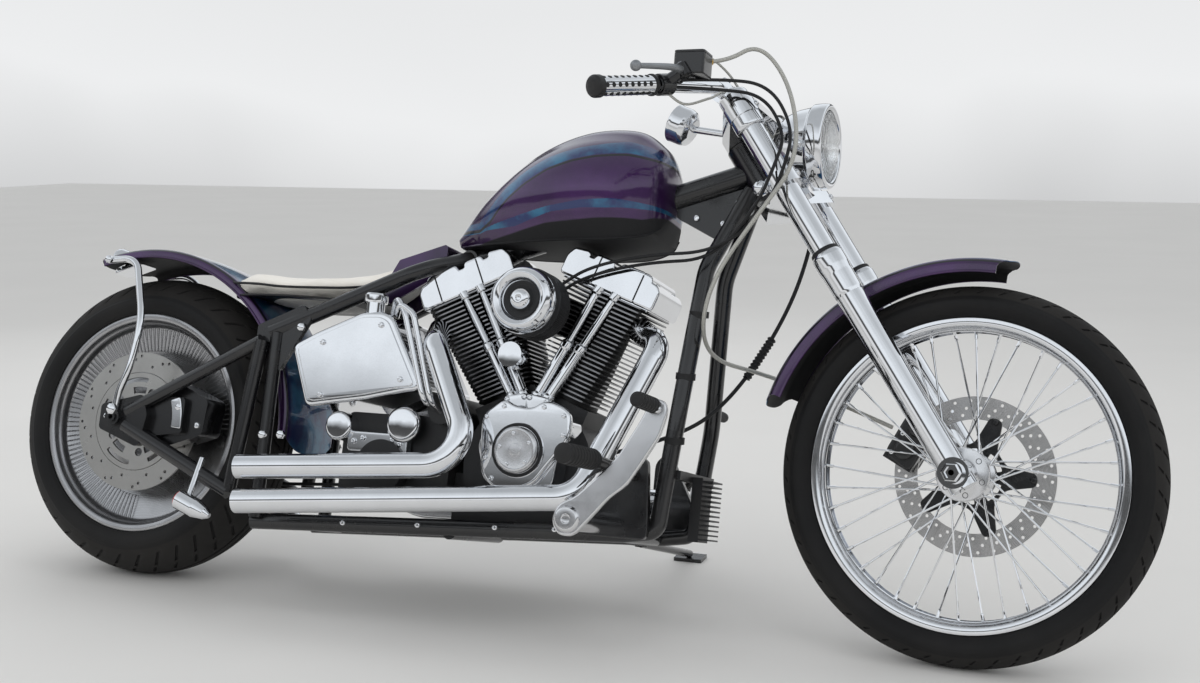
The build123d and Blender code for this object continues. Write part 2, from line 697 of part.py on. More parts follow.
def bullet_lamps():
    """Bullet-shaped lamps on the lower swingarm, one a side."""
    outline = Polyline((0, 0), (20, 0), (20, 42), (13, 66), (5, 78), (0, 78), close=True)
    shell = revolve(Plane.XZ * make_face(outline))
    lamps = []
    for side in (1, -1):
        base = Vector(196, side * 184, 166)
        stalk = rod((214, side * 184, 160), (214, side * SWINGARM_Y, 252), 6)
        lamps.append(Pos(base) * Rot(0, 110, 0) * shell + stalk - swingarm(side))
    return lamps


# Front end, in the fork's frame

@cache
def lower_tree():
    """Lower fork yoke, swept back between the legs, and the stem that turns in the neck."""
    z0, z1 = STEM_Z[0], NECK_Z[0] - 12
    yoke = [Pos(0, 0, z0) * extrude(make_hull((Circle(34)).edges() + (Pos(FORK_OFFSET, side * LEG_Y) * Circle(
        32)).edges()), z1 - z0) for side in (1, -1)]
    stem = Pos(0, 0, z0) * Cylinder(STEM_R, STEM_Z[1] - z0, align=(Align.CENTER, Align.CENTER, Align.MIN))
    stem += Pos(0, 0, z1) * Cylinder(24, NECK_Z[0] - 0.6 - z1, align=(Align.CENTER, Align.CENTER, Align.MIN))
    legs = [Pos(FORK_OFFSET, side * LEG_Y, 620) * Cylinder(FORK_TUBE_R, 200) for side in (1, -1)]
    mount = Pos(48, 0, 616) * Box(44, 34, 28)
    return FORK * (stem + yoke + mount - legs)


@cache
def upper_tree():
    """Upper fork yoke with the two handlebar risers."""
    z0, z1 = NECK_Z[1] + 0.6, NECK_Z[1] + 28
    outline = make_hull((Pos(0, 0) * Circle(30)).edges() + (Pos(FORK_OFFSET, LEG_Y) * Circle(32)).edges()
                        + (Pos(FORK_OFFSET, -LEG_Y) * Circle(32)).edges())
    yoke = Pos(0, 0, z0) * extrude(outline, z1 - z0)
    legs = [Pos(FORK_OFFSET, side * LEG_Y, 780) * Cylinder(FORK_TUBE_R, 200) for side in (1, -1)]
    risers = [Pos(BAR_X, side * 45, z1 - 2) * Cylinder(
        16, BAR_Z - z1 - 8, align=(Align.CENTER, Align.CENTER, Align.MIN)) for side in (1, -1)]
    clamps = [Pos(BAR_X, side * 45, BAR_Z) * Rot(90, 0, 0) * Cylinder(22, 40) for side in (1, -1)]
    bar = Pos(BAR_X, 0, BAR_Z) * Rot(90, 0, 0) * Cylinder(BAR_R, 200)
    stem = Pos(0, 0, 790) * Cylinder(STEM_R, 100)
    return FORK * (yoke + risers + clamps - bar - legs - stem)


BAR_Z = 852.0
BAR_X = 30.0
FORK_TOP = 813.0
SLIDER_TOP = 448.0


@cache
def fork_leg(side):
    """Chrome upper tube and polished slider of one side, with the axle boss."""
    x, y = FORK_OFFSET, side * LEG_Y
    tube = Pos(x, y, (SLIDER_TOP + FORK_TOP) / 2) * Cylinder(FORK_TUBE_R, FORK_TOP - SLIDER_TOP)
    slider = Pos(x, y, (SLIDER_TOP - 30) / 2) * Cylinder(SLIDER_R, SLIDER_TOP + 30)
    collar = Pos(x, y, SLIDER_TOP - 12) * Cylinder(SLIDER_R + 3, 24)
    boss = Pos(x, y, 0) * Rot(90, 0, 0) * Cylinder(27, 2 * SLIDER_R + 6)
    hole = Pos(x, y, 0) * Rot(90, 0, 0) * Cylinder(AXLE_R, 100)
    return FORK * (tube + slider + collar + boss - hole)


def front_axle():
    """Hollow axle with its spacers and end caps."""
    shaft = side_disc(WHEELBASE, FRONT_Z, AXLE_R, -FRONT_AXLE_HALF, FRONT_AXLE_HALF)
    spacers = side_disc(WHEELBASE, FRONT_Z, 16, -88.9, -50.7) + side_disc(WHEELBASE, FRONT_Z, 16, 67.7, 88.9)
    caps = side_disc(WHEELBASE, FRONT_Z, 19, -FRONT_AXLE_HALF, -147.1)
    caps += side_disc(WHEELBASE, FRONT_Z, 19, 147.1, FRONT_AXLE_HALF)
    return shaft + spacers + caps - side_disc(WHEELBASE, FRONT_Z, AXLE_BORE_R, -200, 200)


# Handlebar: fork frame, left side
BAR = [(BAR_X, 0, BAR_Z), (BAR_X, 96, BAR_Z), (-36, 290, 843), (-99, 409, 847)]


@cache
def handlebar():
    """Low bar with chrome grips."""
    right = sided(BAR, -1)
    route = [fork_point(*p) for p in right[:0:-1] + BAR[1:]]
    bar = bent_rod(route, [60, 60, 60, 60], BAR_R)
    grips = []
    for side in (1, -1):
        inner, end = fork_point(*sided(BAR, side)[2]), fork_point(*sided(BAR, side)[3])
        start = inner + 0.04 * (end - inner)
        grips.append(rod(start, end, GRIP_R) + rod(end, end + 0.06 * (end - start), GRIP_R + 2))
    return bar + grips


@cache
def hand_control(side):
    """Lever with a ball end, its perch on the bar and the reservoir or switch box."""
    inner, end = fork_point(*sided(BAR, side)[2]), fork_point(*sided(BAR, side)[3])
    along = (end - inner).normalized()
    ahead = (fork_point(1, 0, 0) - fork_point(0, 0, 0)).normalized()
    perch = inner - 26 * along
    pivot = perch + 44 * ahead
    tip = end + 62 * ahead - 22 * along
    lever = rod(pivot, tip, 6) + Pos(tip) * Sphere(10)
    clamp = rod(perch - 16 * along, perch + 16 * along, 20)
    box = Pos(perch + 38 * ahead - 30 * along + Vector(0, 0, 12)) * Box(54, 46, 40)
    return lever + rod(perch, pivot, 13) + clamp + box - handlebar()


HEADLIGHT = fork_point(141.4, 0, 662.9)
LENS_R = 67.0
GAUGE = (-74.0, -35.0, 852.0)
LENS_BACK = -3.0


def headlight_shell():
    """Chrome bucket with its rim, the reflector bowl and a mount stud down to the lower yoke."""
    x, z = HEADLIGHT.X, HEADLIGHT.Z
    outline = Curve() + [
        Polyline((-44, 0), (-44, 16), (LENS_BACK, 62), (LENS_BACK, LENS_R), (3, LENS_R), (3, 79), (-22, 79),
                 (-24, 74)),
        ThreePointArc((-24, 74), (-83, 56), (-112, 14)),
        Polyline((-112, 14), (-112, 0), (-44, 0)),
    ]
    plane = Plane((x, 0, z), x_dir=(1, 0, 0), z_dir=(0, -1, 0))
    shell = revolve(plane * make_face(outline), Axis((x, 0, z), (1, 0, 0)))
    stud = rod((x - 46, 0, z - 64), (x - 46, 0, z - 84), 12)
    return shell + stud - lower_tree()


def headlight_lens():
    """Slightly domed round lens."""
    x, z = HEADLIGHT.X, HEADLIGHT.Z
    dome = Cone(LENS_R - 1, 40, 6, align=(Align.CENTER, Align.CENTER, Align.MIN))
    return rod((x + LENS_BACK, 0, z), (x + 2, 0, z), LENS_R - RUN_FIT) + Pos(x + 2, 0, z) * Rot(0, 90, 0) * dome


def speedometer():
    """Small round gauge tipped towards the rider, on a bracket from the upper yoke."""
    centre = fork_point(*GAUGE)
    tilt = Vector(-0.93, 0, 0.37)
    cup = rod(centre - 24 * tilt, centre + 16 * tilt, 37)
    bracket = rod(centre - 16 * tilt, fork_point(0, GAUGE[1], NECK_Z[1] + 20), 7)
    return cup + bracket - upper_tree() - lower_tree()


def front_fender():
    """Slim fender and the brackets that bolt it between the fork legs."""
    sheet = fender(FRONT_AXLE, FRONT_FENDER_HALF, FRONT_FENDER_EDGE_R, FRONT_FENDER_R, FRONT_FENDER_START,
                   FRONT_FENDER_ARC)
    legs = fork_leg(1) + fork_leg(-1)
    brackets = [FORK * Pos(FORK_OFFSET, side * 77, 368) * Box(30, 32, 5) for side in (1, -1)]
    return sheet + brackets - legs


def front_caliper():
    """Front brake caliper behind the left fork leg."""
    angle = radians(152)
    centre = FRONT_AXLE + 128 * Vector(cos(angle), 0, sin(angle))
    frame = Pos(centre) * Rot(0, 90 - degrees(angle), 0)
    body = frame * Pos(0, 66, 0) * Box(110, 58, 58)
    arm = rod((centre.X, 90, centre.Z), fork_point(FORK_OFFSET, 100, 120), 13)
    low, high = FRONT_DISC_Y - DISC_GAP, FRONT_DISC_Y + DISC_T + DISC_GAP
    slot = side_disc(WHEELBASE, FRONT_Z, DISC_R + DISC_GAP, low, high)
    return body + arm - slot - fork_leg(1)


# Cables, drawn as they lie with the steering at its parked angle
BRAKE_HOSE = [(1206, -232, 1040), (1246, -206, 1046), (1300, -172, 1096), (1364, -158, 1014),
              (1388, -162, 880), (1328, -180, 776), (1252, -172, 660), (1228, -150, 566), (1228, -50, 520), (1288, 76, 516),
              (1410, 92, 482), (1552, 78, 428)]
CLUTCH_CABLE = [(1230, 234, 1046), (1310, 190, 1064), (1360, 166, 960), (1356, 160, 800), (1320, 140, 640),
                (1240, 70, 458), (1150, 20, 372), (1012, 6, 330)]
THROTTLE_CABLES = [
    [(1166, -262, 996), (1240, -200, 1018), (1316, -138, 1026), (1366, -134, 946), (1364, -164, 866),
     (1334, -166, 782), (1240, -126, 712), (1100, -106, 706), (985, -104, 680), (925, -100, 640),
     (905, -100, 624)],
    [(1166, -262, 984), (1236, -196, 1000), (1304, -126, 1010), (1350, -122, 936), (1346, -174, 862),
     (1318, -174, 784), (1230, -112, 700), (1100, -94, 694), (990, -92, 668), (935, -90, 640),
     (915, -88, 620)],
]


# Where the foot of the steering axis lay when the routes were measured
MEASURED_FOOT = Vector(1663.65, 0, 316.27)


def carried(route):
    """A measured route whose front part keeps its place by the fork, wherever the fork is set."""
    moved = STEER_FOOT - MEASURED_FOOT
    return [Vector(*p) + moved * min(max((p[0] - 1000) / 200, 0), 1) for p in route]


def cable(route, radius):
    route = carried(route)
    return bent_rod(route, easy_bends(route, 0.45, 60), radius)


def brake_hose():
    """Braided hose from the right control past the fork to the front caliper."""
    return cable(BRAKE_HOSE, 4) - turned(front_caliper()) - turned(hand_control(-1))


def clutch_cable():
    """Clutch cable with its rubber boot, from the left lever to the crankcase."""
    top, foot = carried(CLUTCH_CABLE)[4:6]
    line = cable(CLUTCH_CABLE, 4)
    sleeve = rod(top + 0.30 * (foot - top), top + 0.72 * (foot - top), 9)
    return line + sleeve - crankcase() - turned(hand_control(1))


def throttle_cables():
    """Throttle and idle cables from the right control to the carburettor."""
    return [cable(route, 3.2) - carburettor() - turned(hand_control(-1)) for route in THROTTLE_CABLES]


# Side stand
STAND_PIVOT = (1046.0, 174.0, 182.0)
STAND_FOOT_Y = 489.0


def stand_bracket():
    """Lug on the left lower rail with the pin that the stand turns on."""
    x, y, z = STAND_PIVOT
    lug = block(x - 26, x + 26, RAIL_Y + 6, y - 20, z - 6, z + 6) + rod((x, y, z - 6), (x, y, z + 6), 20)
    pin = rod((x, y, z - 22), (x, y, z + 8), 8)
    return lug + block(x - 26, x + 26, y - 30, y, z - 6, z + 6) + pin - frame_loop(1)


def side_stand():
    """Bent leg with a flat foot that lies on the ground when the motorcycle leans."""
    x, y, z = STAND_PIVOT
    foot_z = STAND_FOOT_Y * tan(radians(LEAN))
    eye = rod((x, y, z - 20), (x, y, z - 6.5), 18) - rod((x, y, z - 23), (x, y, z), 8 + RUN_FIT)
    leg = rod((x, y + 14, z - 15), (x + 20, STAND_FOOT_Y - 10, foot_z + 12), 8)
    foot = Pos(x + 20, STAND_FOOT_Y, foot_z) * Rot(LEAN, 0, 0) * Pos(0, 0, 4) * Box(62, 46, 8)
    return eye + leg - rod((x, y, z - 23), (x, y, z), 8 + RUN_FIT) + foot


# Columns: name, body, maker
NODES = [
    ("front_tyre", "front_wheel", front_tyre),
    ("front_wheel_rim", "front_wheel", front_wheel),
    ("front_brake_disc", "front_wheel", front_disc),
    ("rear_tyre", "rear_wheel", rear_tyre),
    ("rear_wheel_disc", "rear_wheel", rear_wheel),
    ("rear_brake_disc", "rear_wheel", rear_disc),
    ("drive_belt", "chassis", drive_belt),
    ("frame_backbone", "chassis", frame_backbone),
    ("frame_loop_left", "chassis", lambda: frame_loop(1)),
    ("frame_loop_right", "chassis", lambda: frame_loop(-1)),
    ("frame_rear_left", "chassis", lambda: frame_rear(1)),
    ("frame_rear_right", "chassis", lambda: frame_rear(-1)),
    ("frame_cross_tubes", "chassis", frame_cross_tubes),
    ("swingarm_left", "chassis", lambda: swingarm(1)),
    ("swingarm_right", "chassis", lambda: swingarm(-1)),
    ("rear_axle", "chassis", rear_axle),
    ("fuel_tank", "chassis", fuel_tank),
    ("side_cover", "chassis", side_cover),
    ("seat", "chassis", seat),
    ("rear_fender", "chassis", rear_fender),
    ("fender_struts", "chassis", fender_struts),
    ("crankcase", "chassis", crankcase),
    ("cylinder_front", "chassis", lambda: cylinder(CYLINDER_TILTS["front"])),
    ("cylinder_rear", "chassis", lambda: cylinder(CYLINDER_TILTS["rear"])),
    ("rocker_box_front", "chassis", lambda: rocker_box(CYLINDER_TILTS["front"])),
    ("rocker_box_rear", "chassis", lambda: rocker_box(CYLINDER_TILTS["rear"])),
    ("pushrod_tubes", "chassis", pushrod_tubes),
    ("cam_cover", "chassis", cam_cover),
    ("primary_cover", "chassis", primary_cover),
    ("gearbox", "chassis", gearbox),
    ("air_cleaner", "chassis", air_cleaner),
    ("carburettor", "chassis", carburettor),
    ("exhaust_pipe_front", "chassis", lambda: exhaust_pipe(FRONT_PIPE)),
    ("exhaust_pipe_rear", "chassis", lambda: exhaust_pipe(REAR_PIPE)),
    ("oil_tank", "chassis", oil_tank),
    ("oil_lines", "chassis", oil_lines),
    ("right_controls", "chassis", right_controls),
    ("left_controls", "chassis", left_controls),
    ("regulator", "chassis", regulator),
    ("oil_filter", "chassis", oil_filter),
    ("rear_caliper", "chassis", rear_caliper),
    ("bullet_lamps", "chassis", bullet_lamps),
    ("stand_bracket", "chassis", stand_bracket),
    ("lower_yoke", "steering", lower_tree),
    ("upper_yoke", "steering", upper_tree),
    ("fork_leg_left", "steering", lambda: fork_leg(1)),
    ("fork_leg_right", "steering", lambda: fork_leg(-1)),
    ("handlebar", "steering", handlebar),
    ("brake_lever", "steering", lambda: hand_control(-1)),
    ("clutch_lever", "steering", lambda: hand_control(1)),
    ("headlight_shell", "steering", headlight_shell),
    ("headlight_lens", "steering", headlight_lens),
    ("speedometer", "steering", speedometer),
    ("front_fender", "steering", front_fender),
    ("front_caliper", "steering", front_caliper),
    ("front_axle", "steering", front_axle),
    ("brake_hose", "cable", brake_hose),
    ("clutch_cable", "cable", clutch_cable),
    ("throttle_cables", "cable", throttle_cables),
    ("side_stand", "side_stand", side_stand),
]

def as_shape(made):
    """A node's solids as one shape."""
    items = made if isinstance(made, (list, tuple)) else [made]
    solids = [solid for item in items for solid in item.solids()]
    return solids[0] if len(solids) == 1 else Compound(children=solids)


def leaned(shape, body):
    """A piece turned with the steering if it is part of it, then leaned with the motorcycle."""
    shape = turned(shape) if body in ("steering", "front_wheel") else shape
    return Rot(-LEAN, 0, 0) * shape


PIECES = {name: leaned(as_shape(make()), body) for name, body, make in NODES}
CORNERS = [piece.bounding_box() for piece in PIECES.values()]
MIDDLE_X = (min(box.min.X for box in CORNERS) + max(box.max.X for box in CORNERS)) / 2
MIDDLE_Y = (min(box.min.Y for box in CORNERS) + max(box.max.Y for box in CORNERS)) / 2

# The origin is on the floor, under the middle of the parked motorcycle
PARK = Pos(-MIDDLE_X, -MIDDLE_Y, 0) * Rot(-LEAN, 0, 0)

for name, piece in PIECES.items():
    export_step(Pos(-MIDDLE_X, -MIDDLE_Y, 0) * piece, f"parts/{name}.step")
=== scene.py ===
# %% [markdown]
# # A custom motorcycle, dressed for its photograph
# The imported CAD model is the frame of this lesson: wheels, tubes and covers are already in
# place, in metres. Each step below gives a part its finish, or swaps a plain solid for a more
# detailed surface that sits exactly where the solid was.

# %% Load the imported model
import json
import math
import bmesh
import bpy
import numpy as np
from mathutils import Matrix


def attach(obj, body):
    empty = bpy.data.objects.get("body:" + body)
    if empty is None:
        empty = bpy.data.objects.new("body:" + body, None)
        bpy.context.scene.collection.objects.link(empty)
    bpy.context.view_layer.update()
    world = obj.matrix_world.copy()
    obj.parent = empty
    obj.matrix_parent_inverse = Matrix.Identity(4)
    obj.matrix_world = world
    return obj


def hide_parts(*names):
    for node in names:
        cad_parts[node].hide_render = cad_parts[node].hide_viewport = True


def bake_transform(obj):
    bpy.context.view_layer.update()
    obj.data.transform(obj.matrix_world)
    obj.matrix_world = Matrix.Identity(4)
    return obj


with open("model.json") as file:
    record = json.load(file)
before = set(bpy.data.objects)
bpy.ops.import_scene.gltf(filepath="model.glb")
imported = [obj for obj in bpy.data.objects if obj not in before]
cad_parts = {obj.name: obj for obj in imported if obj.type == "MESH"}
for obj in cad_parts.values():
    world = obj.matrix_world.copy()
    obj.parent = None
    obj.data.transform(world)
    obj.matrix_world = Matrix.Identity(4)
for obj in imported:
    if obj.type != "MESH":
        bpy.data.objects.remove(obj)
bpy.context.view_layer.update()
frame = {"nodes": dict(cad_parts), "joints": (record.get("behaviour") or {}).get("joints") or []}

# %% [markdown]
# ## Two frames
# The motorcycle is parked: it leans on its stand and its bars are turned a little. Shapes are
# easier to think of on an upright machine, in millimetres, with X forward from the rear axle,
# Y to the rider's left and Z up. One matrix then leans every point, and parts of the front
# end are first turned about the steering axis. The rear wheel's joint says where the origin is.

# %% From upright millimetres to the parked machine
LEAN, STEER, RAKE = np.radians([16.33, -4.62, 34.2])
REAR_AXLE = np.array([0.0, 0.0, 319.99])
FRONT_AXLE = np.array([1705.0, 0.0, 344.37])
STEER_FOOT = np.array([1663.65, 0.0, 316.27])
FORK_AHEAD = np.array([np.cos(RAKE), 0, np.sin(RAKE)])
FORK_UP = np.array([-np.sin(RAKE), 0, np.cos(RAKE)])
SIDE = np.array([0.0, 1.0, 0.0])


def turn_about(axis, angle):
    """Rotation matrix: the identity, plus the sine of the angle times the axis's cross-product
    matrix, plus one minus the cosine times that matrix squared."""
    x, y, z = axis
    cross = np.array([[0, -z, y], [z, 0, -x], [-y, x, 0]])
    return np.eye(3) + np.sin(angle) * cross + (1 - np.cos(angle)) * cross @ cross


LEANED = turn_about((1, 0, 0), -LEAN)
TURNED = turn_about(FORK_UP, STEER)
rear_spin = next(joint for joint in frame["joints"] if joint["name"] == "rear_wheel_spin")
HUB_AT = np.array(rear_spin["pos_m"])
ORIGIN = HUB_AT - LEANED @ REAR_AXLE / 1000


def placed(points, turned=False):
    """Upright millimetres to metres in the row's frame: turned with the steering, then leaned."""
    points = np.asarray(points, float)
    if turned:
        points = STEER_FOOT + (points - STEER_FOOT) @ TURNED.T
    return points @ LEANED.T / 1000 + ORIGIN


def fork(x, y, z):
    """A point of the front end: x ahead of the steering axis, y to the left, z up along it."""
    return STEER_FOOT + x * FORK_AHEAD + y * SIDE + z * FORK_UP


print("rear hub at", HUB_AT, "origin", ORIGIN)

# %% [markdown]
# ## The camera
# The camera was fitted to the photograph: it stands low on the right side, ahead of the rear
# wheel, and looks a little down. Blender's sliders could find such a place by eye, but wheel
# centres and rims measured in the photo give it with less wandering. Its place is written from
# the machine's origin under the rear axle, in metres, and its two angles in degrees.

# %% Camera
CAMERA_FROM_ORIGIN = (2.01534507, -2.67829704, 0.96440679)
LOOKS_DOWN, LOOKS_LEFT = 8.2218, 20.0128
FOCAL_LENGTH, FILM_WIDTH, FAR_END = 46.63, 36, 60


def shown(name, data):
    """A new object in the scene for a camera, lamp, mesh or curve."""
    made = bpy.data.objects.new(name, data)
    bpy.context.scene.collection.objects.link(made)
    return made


camera = shown("camera", bpy.data.cameras.new("camera"))
camera.location = ORIGIN + CAMERA_FROM_ORIGIN
camera.rotation_euler = (math.radians(90 - LOOKS_DOWN), 0, math.radians(LOOKS_LEFT))
camera.data.lens, camera.data.sensor_width = FOCAL_LENGTH, FILM_WIDTH
camera.data.clip_end = FAR_END
bpy.context.scene.camera = camera
bpy.context.scene.view_settings.view_transform = "Standard"
print("camera at", camera.location)

# %% [markdown]
# ## Shader sums as expressions
# A material is a sum over places: a cloud of noise here, a mask there. Wrapping a socket in a
# small class lets such sums be written as Python, and each operator adds its Math node.


# %% Sockets that can be added and multiplied
class Value:
    """One output socket. Operators on it add Math nodes to its finish."""

    def __init__(self, finish, socket):
        self.finish, self.socket = finish, socket

    def math(self, operation, *others, clamp=False):
        """One Math node, with this socket first."""
        return self.finish.node("ShaderNodeMath", {"operation": operation, "use_clamp": clamp},
                                dict(enumerate((self, *others))))

    def __add__(self, other):
        return self.math("ADD", other)

    def __sub__(self, other):
        return self.math("SUBTRACT", other)

    def __rsub__(self, other):
        return (self * -1) + other

    def __mul__(self, other):
        return self.math("MULTIPLY", other)

    def __truediv__(self, other):
        return self.math("DIVIDE", other)

    def __abs__(self):
        return self.math("ABSOLUTE")

    def __gt__(self, other):
        return self.math("GREATER_THAN", other)

    __radd__, __rmul__ = __add__, __mul__

    def sine(self):
        return self.math("SINE")

    def between(self, low, high):
        """0 below low, 1 above high, and an even ramp from one to the other."""
        return ((self - low) / (high - low)).math("ADD", 0.0, clamp=True)

# %% [markdown]
# ## One finish, one material
# Every material comes from the same few steps: new nodes, their settings, their inputs. They
# could be placed by hand in the shader editor. A class that holds one material and a method for
# each kind of node keeps a recipe to a few lines. Patterns read Object coordinates, which stay
# with a piece when it moves.


# %% Materials as recipes
class Finish:
    """A material of one slot of the record, with a method for each kind of node it needs."""

    def __init__(self, slot, name=None):
        self.slot = slot
        self.material = bpy.data.materials.new(name or slot)
        self.material.use_nodes = True
        self.tree = self.material.node_tree
        self.shader = self.tree.nodes["Principled BSDF"]

    def node(self, kind, settings=None, inputs=None, output=0):
        """Any node: its settings first, then a value or a link for each socket named."""
        made = self.tree.nodes.new(kind)
        for key, setting in (settings or {}).items():
            if key == "stops":
                ramp = made.color_ramp.elements
                while len(ramp) < len(setting):
                    ramp.new(1.0)
                for element, (position, colour) in zip(ramp, setting):
                    element.position, element.color = position, (*colour, 1)
            else:
                setattr(made, key, setting)
        for key, value in (inputs or {}).items():
            self.feed(made.inputs[key], value)
        return Value(self, made.outputs[output])

    def feed(self, socket, value):
        """Links a Value, or sets a number or a colour."""
        if isinstance(value, Value):
            self.tree.links.new(value.socket, socket)
        elif isinstance(value, tuple) and len(value) == 3 and len(socket.default_value) == 4:
            socket.default_value = (*value, 1)
        else:
            socket.default_value = value

    def set(self, **sockets):
        """Numbers and links for the shader's own sockets, such as Base_Color."""
        for key, value in sockets.items():
            self.feed(self.shader.inputs[key.replace("_", " ")], value)
        return self

    def place(self):
        """Where a point is, in the row's metres."""
        return self.node("ShaderNodeTexCoord", output="Object")

    def attribute(self, name):
        """A number that each point of the mesh carries."""
        return self.node("ShaderNodeAttribute", {"attribute_name": name}, output="Fac")

    def noise(self, scale, detail=3.0, rough=0.55):
        """Soft clouds, with a scale in patches to the metre."""
        return self.node("ShaderNodeTexNoise", None,
                         {"Vector": self.place(), "Scale": scale, "Detail": detail, "Roughness": rough})

    def cells(self, scale, output="Distance"):
        """Small cells: how far a point is from the middle of its cell, or the cell's colour."""
        return self.node("ShaderNodeTexVoronoi", None, {"Vector": self.place(), "Scale": scale}, output)

    def mix(self, first, second, share):
        """One colour at share 0, the other at share 1."""
        return self.node("ShaderNodeMix", {"data_type": "RGBA"}, {0: share, 6: first, 7: second}, 2)

    def bump(self, height, strength, distance=0.001):
        """Tilts the normal as if the surface rose and fell with a height."""
        sockets = {"Height": height, "Strength": strength, "Distance": distance}
        normal = self.node("ShaderNodeBump", None, sockets)
        return self.set(Normal=normal)

    def vector(self, operation, first, second=(0, 0, 0), output=0):
        """One Vector Math node."""
        return self.node("ShaderNodeVectorMath", {"operation": operation}, {0: first, 1: second}, output)

    def away(self, point):
        """The arrow from a point to where the surface is."""
        return self.vector("SUBTRACT", self.place(), tuple(point))

    def from_line(self, point, axis):
        """Distance from a line: the length of the cross product with its unit axis."""
        cross = self.vector("CROSS_PRODUCT", self.away(point), tuple(axis))
        return self.vector("LENGTH", cross, output="Value")

    def along(self, point, axis):
        """How far along an axis from a point."""
        return self.vector("DOT_PRODUCT", self.away(point), tuple(axis), "Value")


print("finishes can be mixed")

# %% [markdown]
# ## Floor
# The floor is the only scenery. It is a big flat square, and its own faint mottling keeps the
# shadow from looking drawn.

# %% Floor
FLOOR_CORNERS = [(-14, -9, 0), (14, -9, 0), (14, 16, 0), (-14, 16, 0)]
floor_finish = Finish("floor")
mottle = floor_finish.noise(1.2, 5)
floor_finish.set(Base_Color=floor_finish.mix((0.70, 0.70, 0.69), (0.76, 0.76, 0.75),
                                             mottle), Roughness=0.75)
floor_mesh = bpy.data.meshes.new("floor")
floor_mesh.from_pydata(FLOOR_CORNERS, [], [(0, 1, 2, 3)])
floor_mesh.materials.append(floor_finish.material)
floor = shown("floor", floor_mesh)
print("floor of", floor.dimensions.x, "by", floor.dimensions.y, "metres")

# %% [markdown]
# ## The room that chrome shows
# Chrome shows what stands round it, and an even white room would make it look like white paint.
# A picture of a real room could be wrapped round the scene. Here a ramp of greys over the height
# of the view does the same: pale wall, dark band, bright panels, dimmer top, with a little noise
# that bends the bands. Only mirrors and glass see all of it. The camera sees just the pale wall,
# and dull surfaces are lit by an even soft white, so a colour renders about as it is written.


# %% World
class Room(Finish):
    """The world's own node tree, with the methods of a finish."""

    def __init__(self, name):
        world = bpy.data.worlds.new(name)
        bpy.context.scene.world = world
        world.use_nodes = True
        self.tree = world.node_tree
        self.tree.nodes.remove(self.tree.nodes["Background"])

    def ray(self, kind):
        """One on a light path of this kind, such as Camera, and zero on others."""
        return self.node("ShaderNodeLightPath", output="Is " + kind + " Ray")


GREYS = [(0.42, 0.40), (0.51, 0.86), (0.565, 0.80), (0.585, 0.10), (0.635, 0.07), (0.675, 0.98),
         (0.77, 0.95), (0.93, 0.50)]
PANELS_START, WALL_TOP, BEND, EVEN_LIGHT = 0.66, 0.55, 0.12, 0.72
room = Room("studio")
view = room.node("ShaderNodeTexCoord", output="Generated")
level = room.node("ShaderNodeSeparateXYZ", None, {0: view}, "Z") * 0.5 + 0.5
cloud = room.node("ShaderNodeTexNoise", None, {"Vector": view, "Scale": 2.6, "Detail": 3.0})
level = (cloud - 0.5) * BEND + level
level = level.math("MINIMUM", room.ray("Camera") * (WALL_TOP - 1) + 1.0)
tinted = []
for height, grey in GREYS:
    cool = 0.05 if height > PANELS_START else 0.01
    tinted.append((height, (grey * (1 - cool), grey, grey * (1 + cool))))
walls = room.node("ShaderNodeValToRGB", {"stops": tinted}, {0: level})
walls = room.node("ShaderNodeBackground", None, {0: walls})
soft = room.node("ShaderNodeBackground", None, {0: (1.0, 1.0, 1.0), 1: EVEN_LIGHT})
mirrored = room.ray("Camera").math("MAXIMUM", room.ray("Glossy"))
mirrored = mirrored.math("MAXIMUM", room.ray("Transmission"))
both = room.node("ShaderNodeMixShader", None, {0: mirrored, 1: soft, 2: walls})
room.feed(room.tree.nodes["World Output"].inputs[0], both)
print("room of", len(GREYS), "greys")

# %% [markdown]
# ## Lamps
# Four large soft lamps give the form its light and the floor its shadow: a key from the right and
# behind, a fill from ahead, one above and one behind on the far side. Mirrors don't see them,
# because a lamp adds its light to the room behind it and would burn chrome out to plain white.


# %% Four soft lamps
def lamp(name, place, aim, size, power):
    """A soft rectangular lamp at a place, pointed at another."""
    data = bpy.data.lights.new(name, "AREA")
    data.shape, data.size, data.size_y, data.energy = "RECTANGLE", size[0], size[1], power
    made = shown(name, data)
    made.location, made.visible_glossy = place, False
    direction = np.array(aim, float) - place
    made.rotation_euler = (math.acos(-direction[2] / np.linalg.norm(direction)), 0,
                           math.atan2(direction[1], direction[0]) - math.pi / 2)


lamp("key", (-1.6, -3.2, 3.0), (0, 0, 0.5), (4.0, 2.4), 27)
lamp("fill", (3.4, -1.6, 2.2), (0.2, 0, 0.5), (2.4, 2.4), 12)
lamp("top", (0.2, 0.6, 3.4), (0, 0, 0.5), (4.5, 2.2), 22)
lamp("back", (-2.2, 3.0, 2.2), (0, 0, 0.5), (3.0, 2.0), 15)
print("lamps:", [light.name for light in bpy.data.lights])

# %% [markdown]
# ## Curves
# Cords, outlines and sections all start as a few listed points. Two tools
# finish them: one eases corners by a small curve, because a real edge catches the light, and one
# runs a smooth curve through all points. Blender's own curve objects could do both, but arrays
# can be measured and changed before a mesh is made.


# %% Easing and smoothing
def unit(vector):
    """The same direction, one long."""
    vector = np.asarray(vector, float)
    return vector / np.linalg.norm(vector, axis=-1, keepdims=True)


def square_to(axis):
    """A unit axis and two directions square to it and to each other."""
    axis = unit(axis)
    side = unit(np.cross(axis, (0, 0, 1) if abs(axis[2]) < 0.9 else (1, 0, 0)))
    return axis, side, np.cross(axis, side)


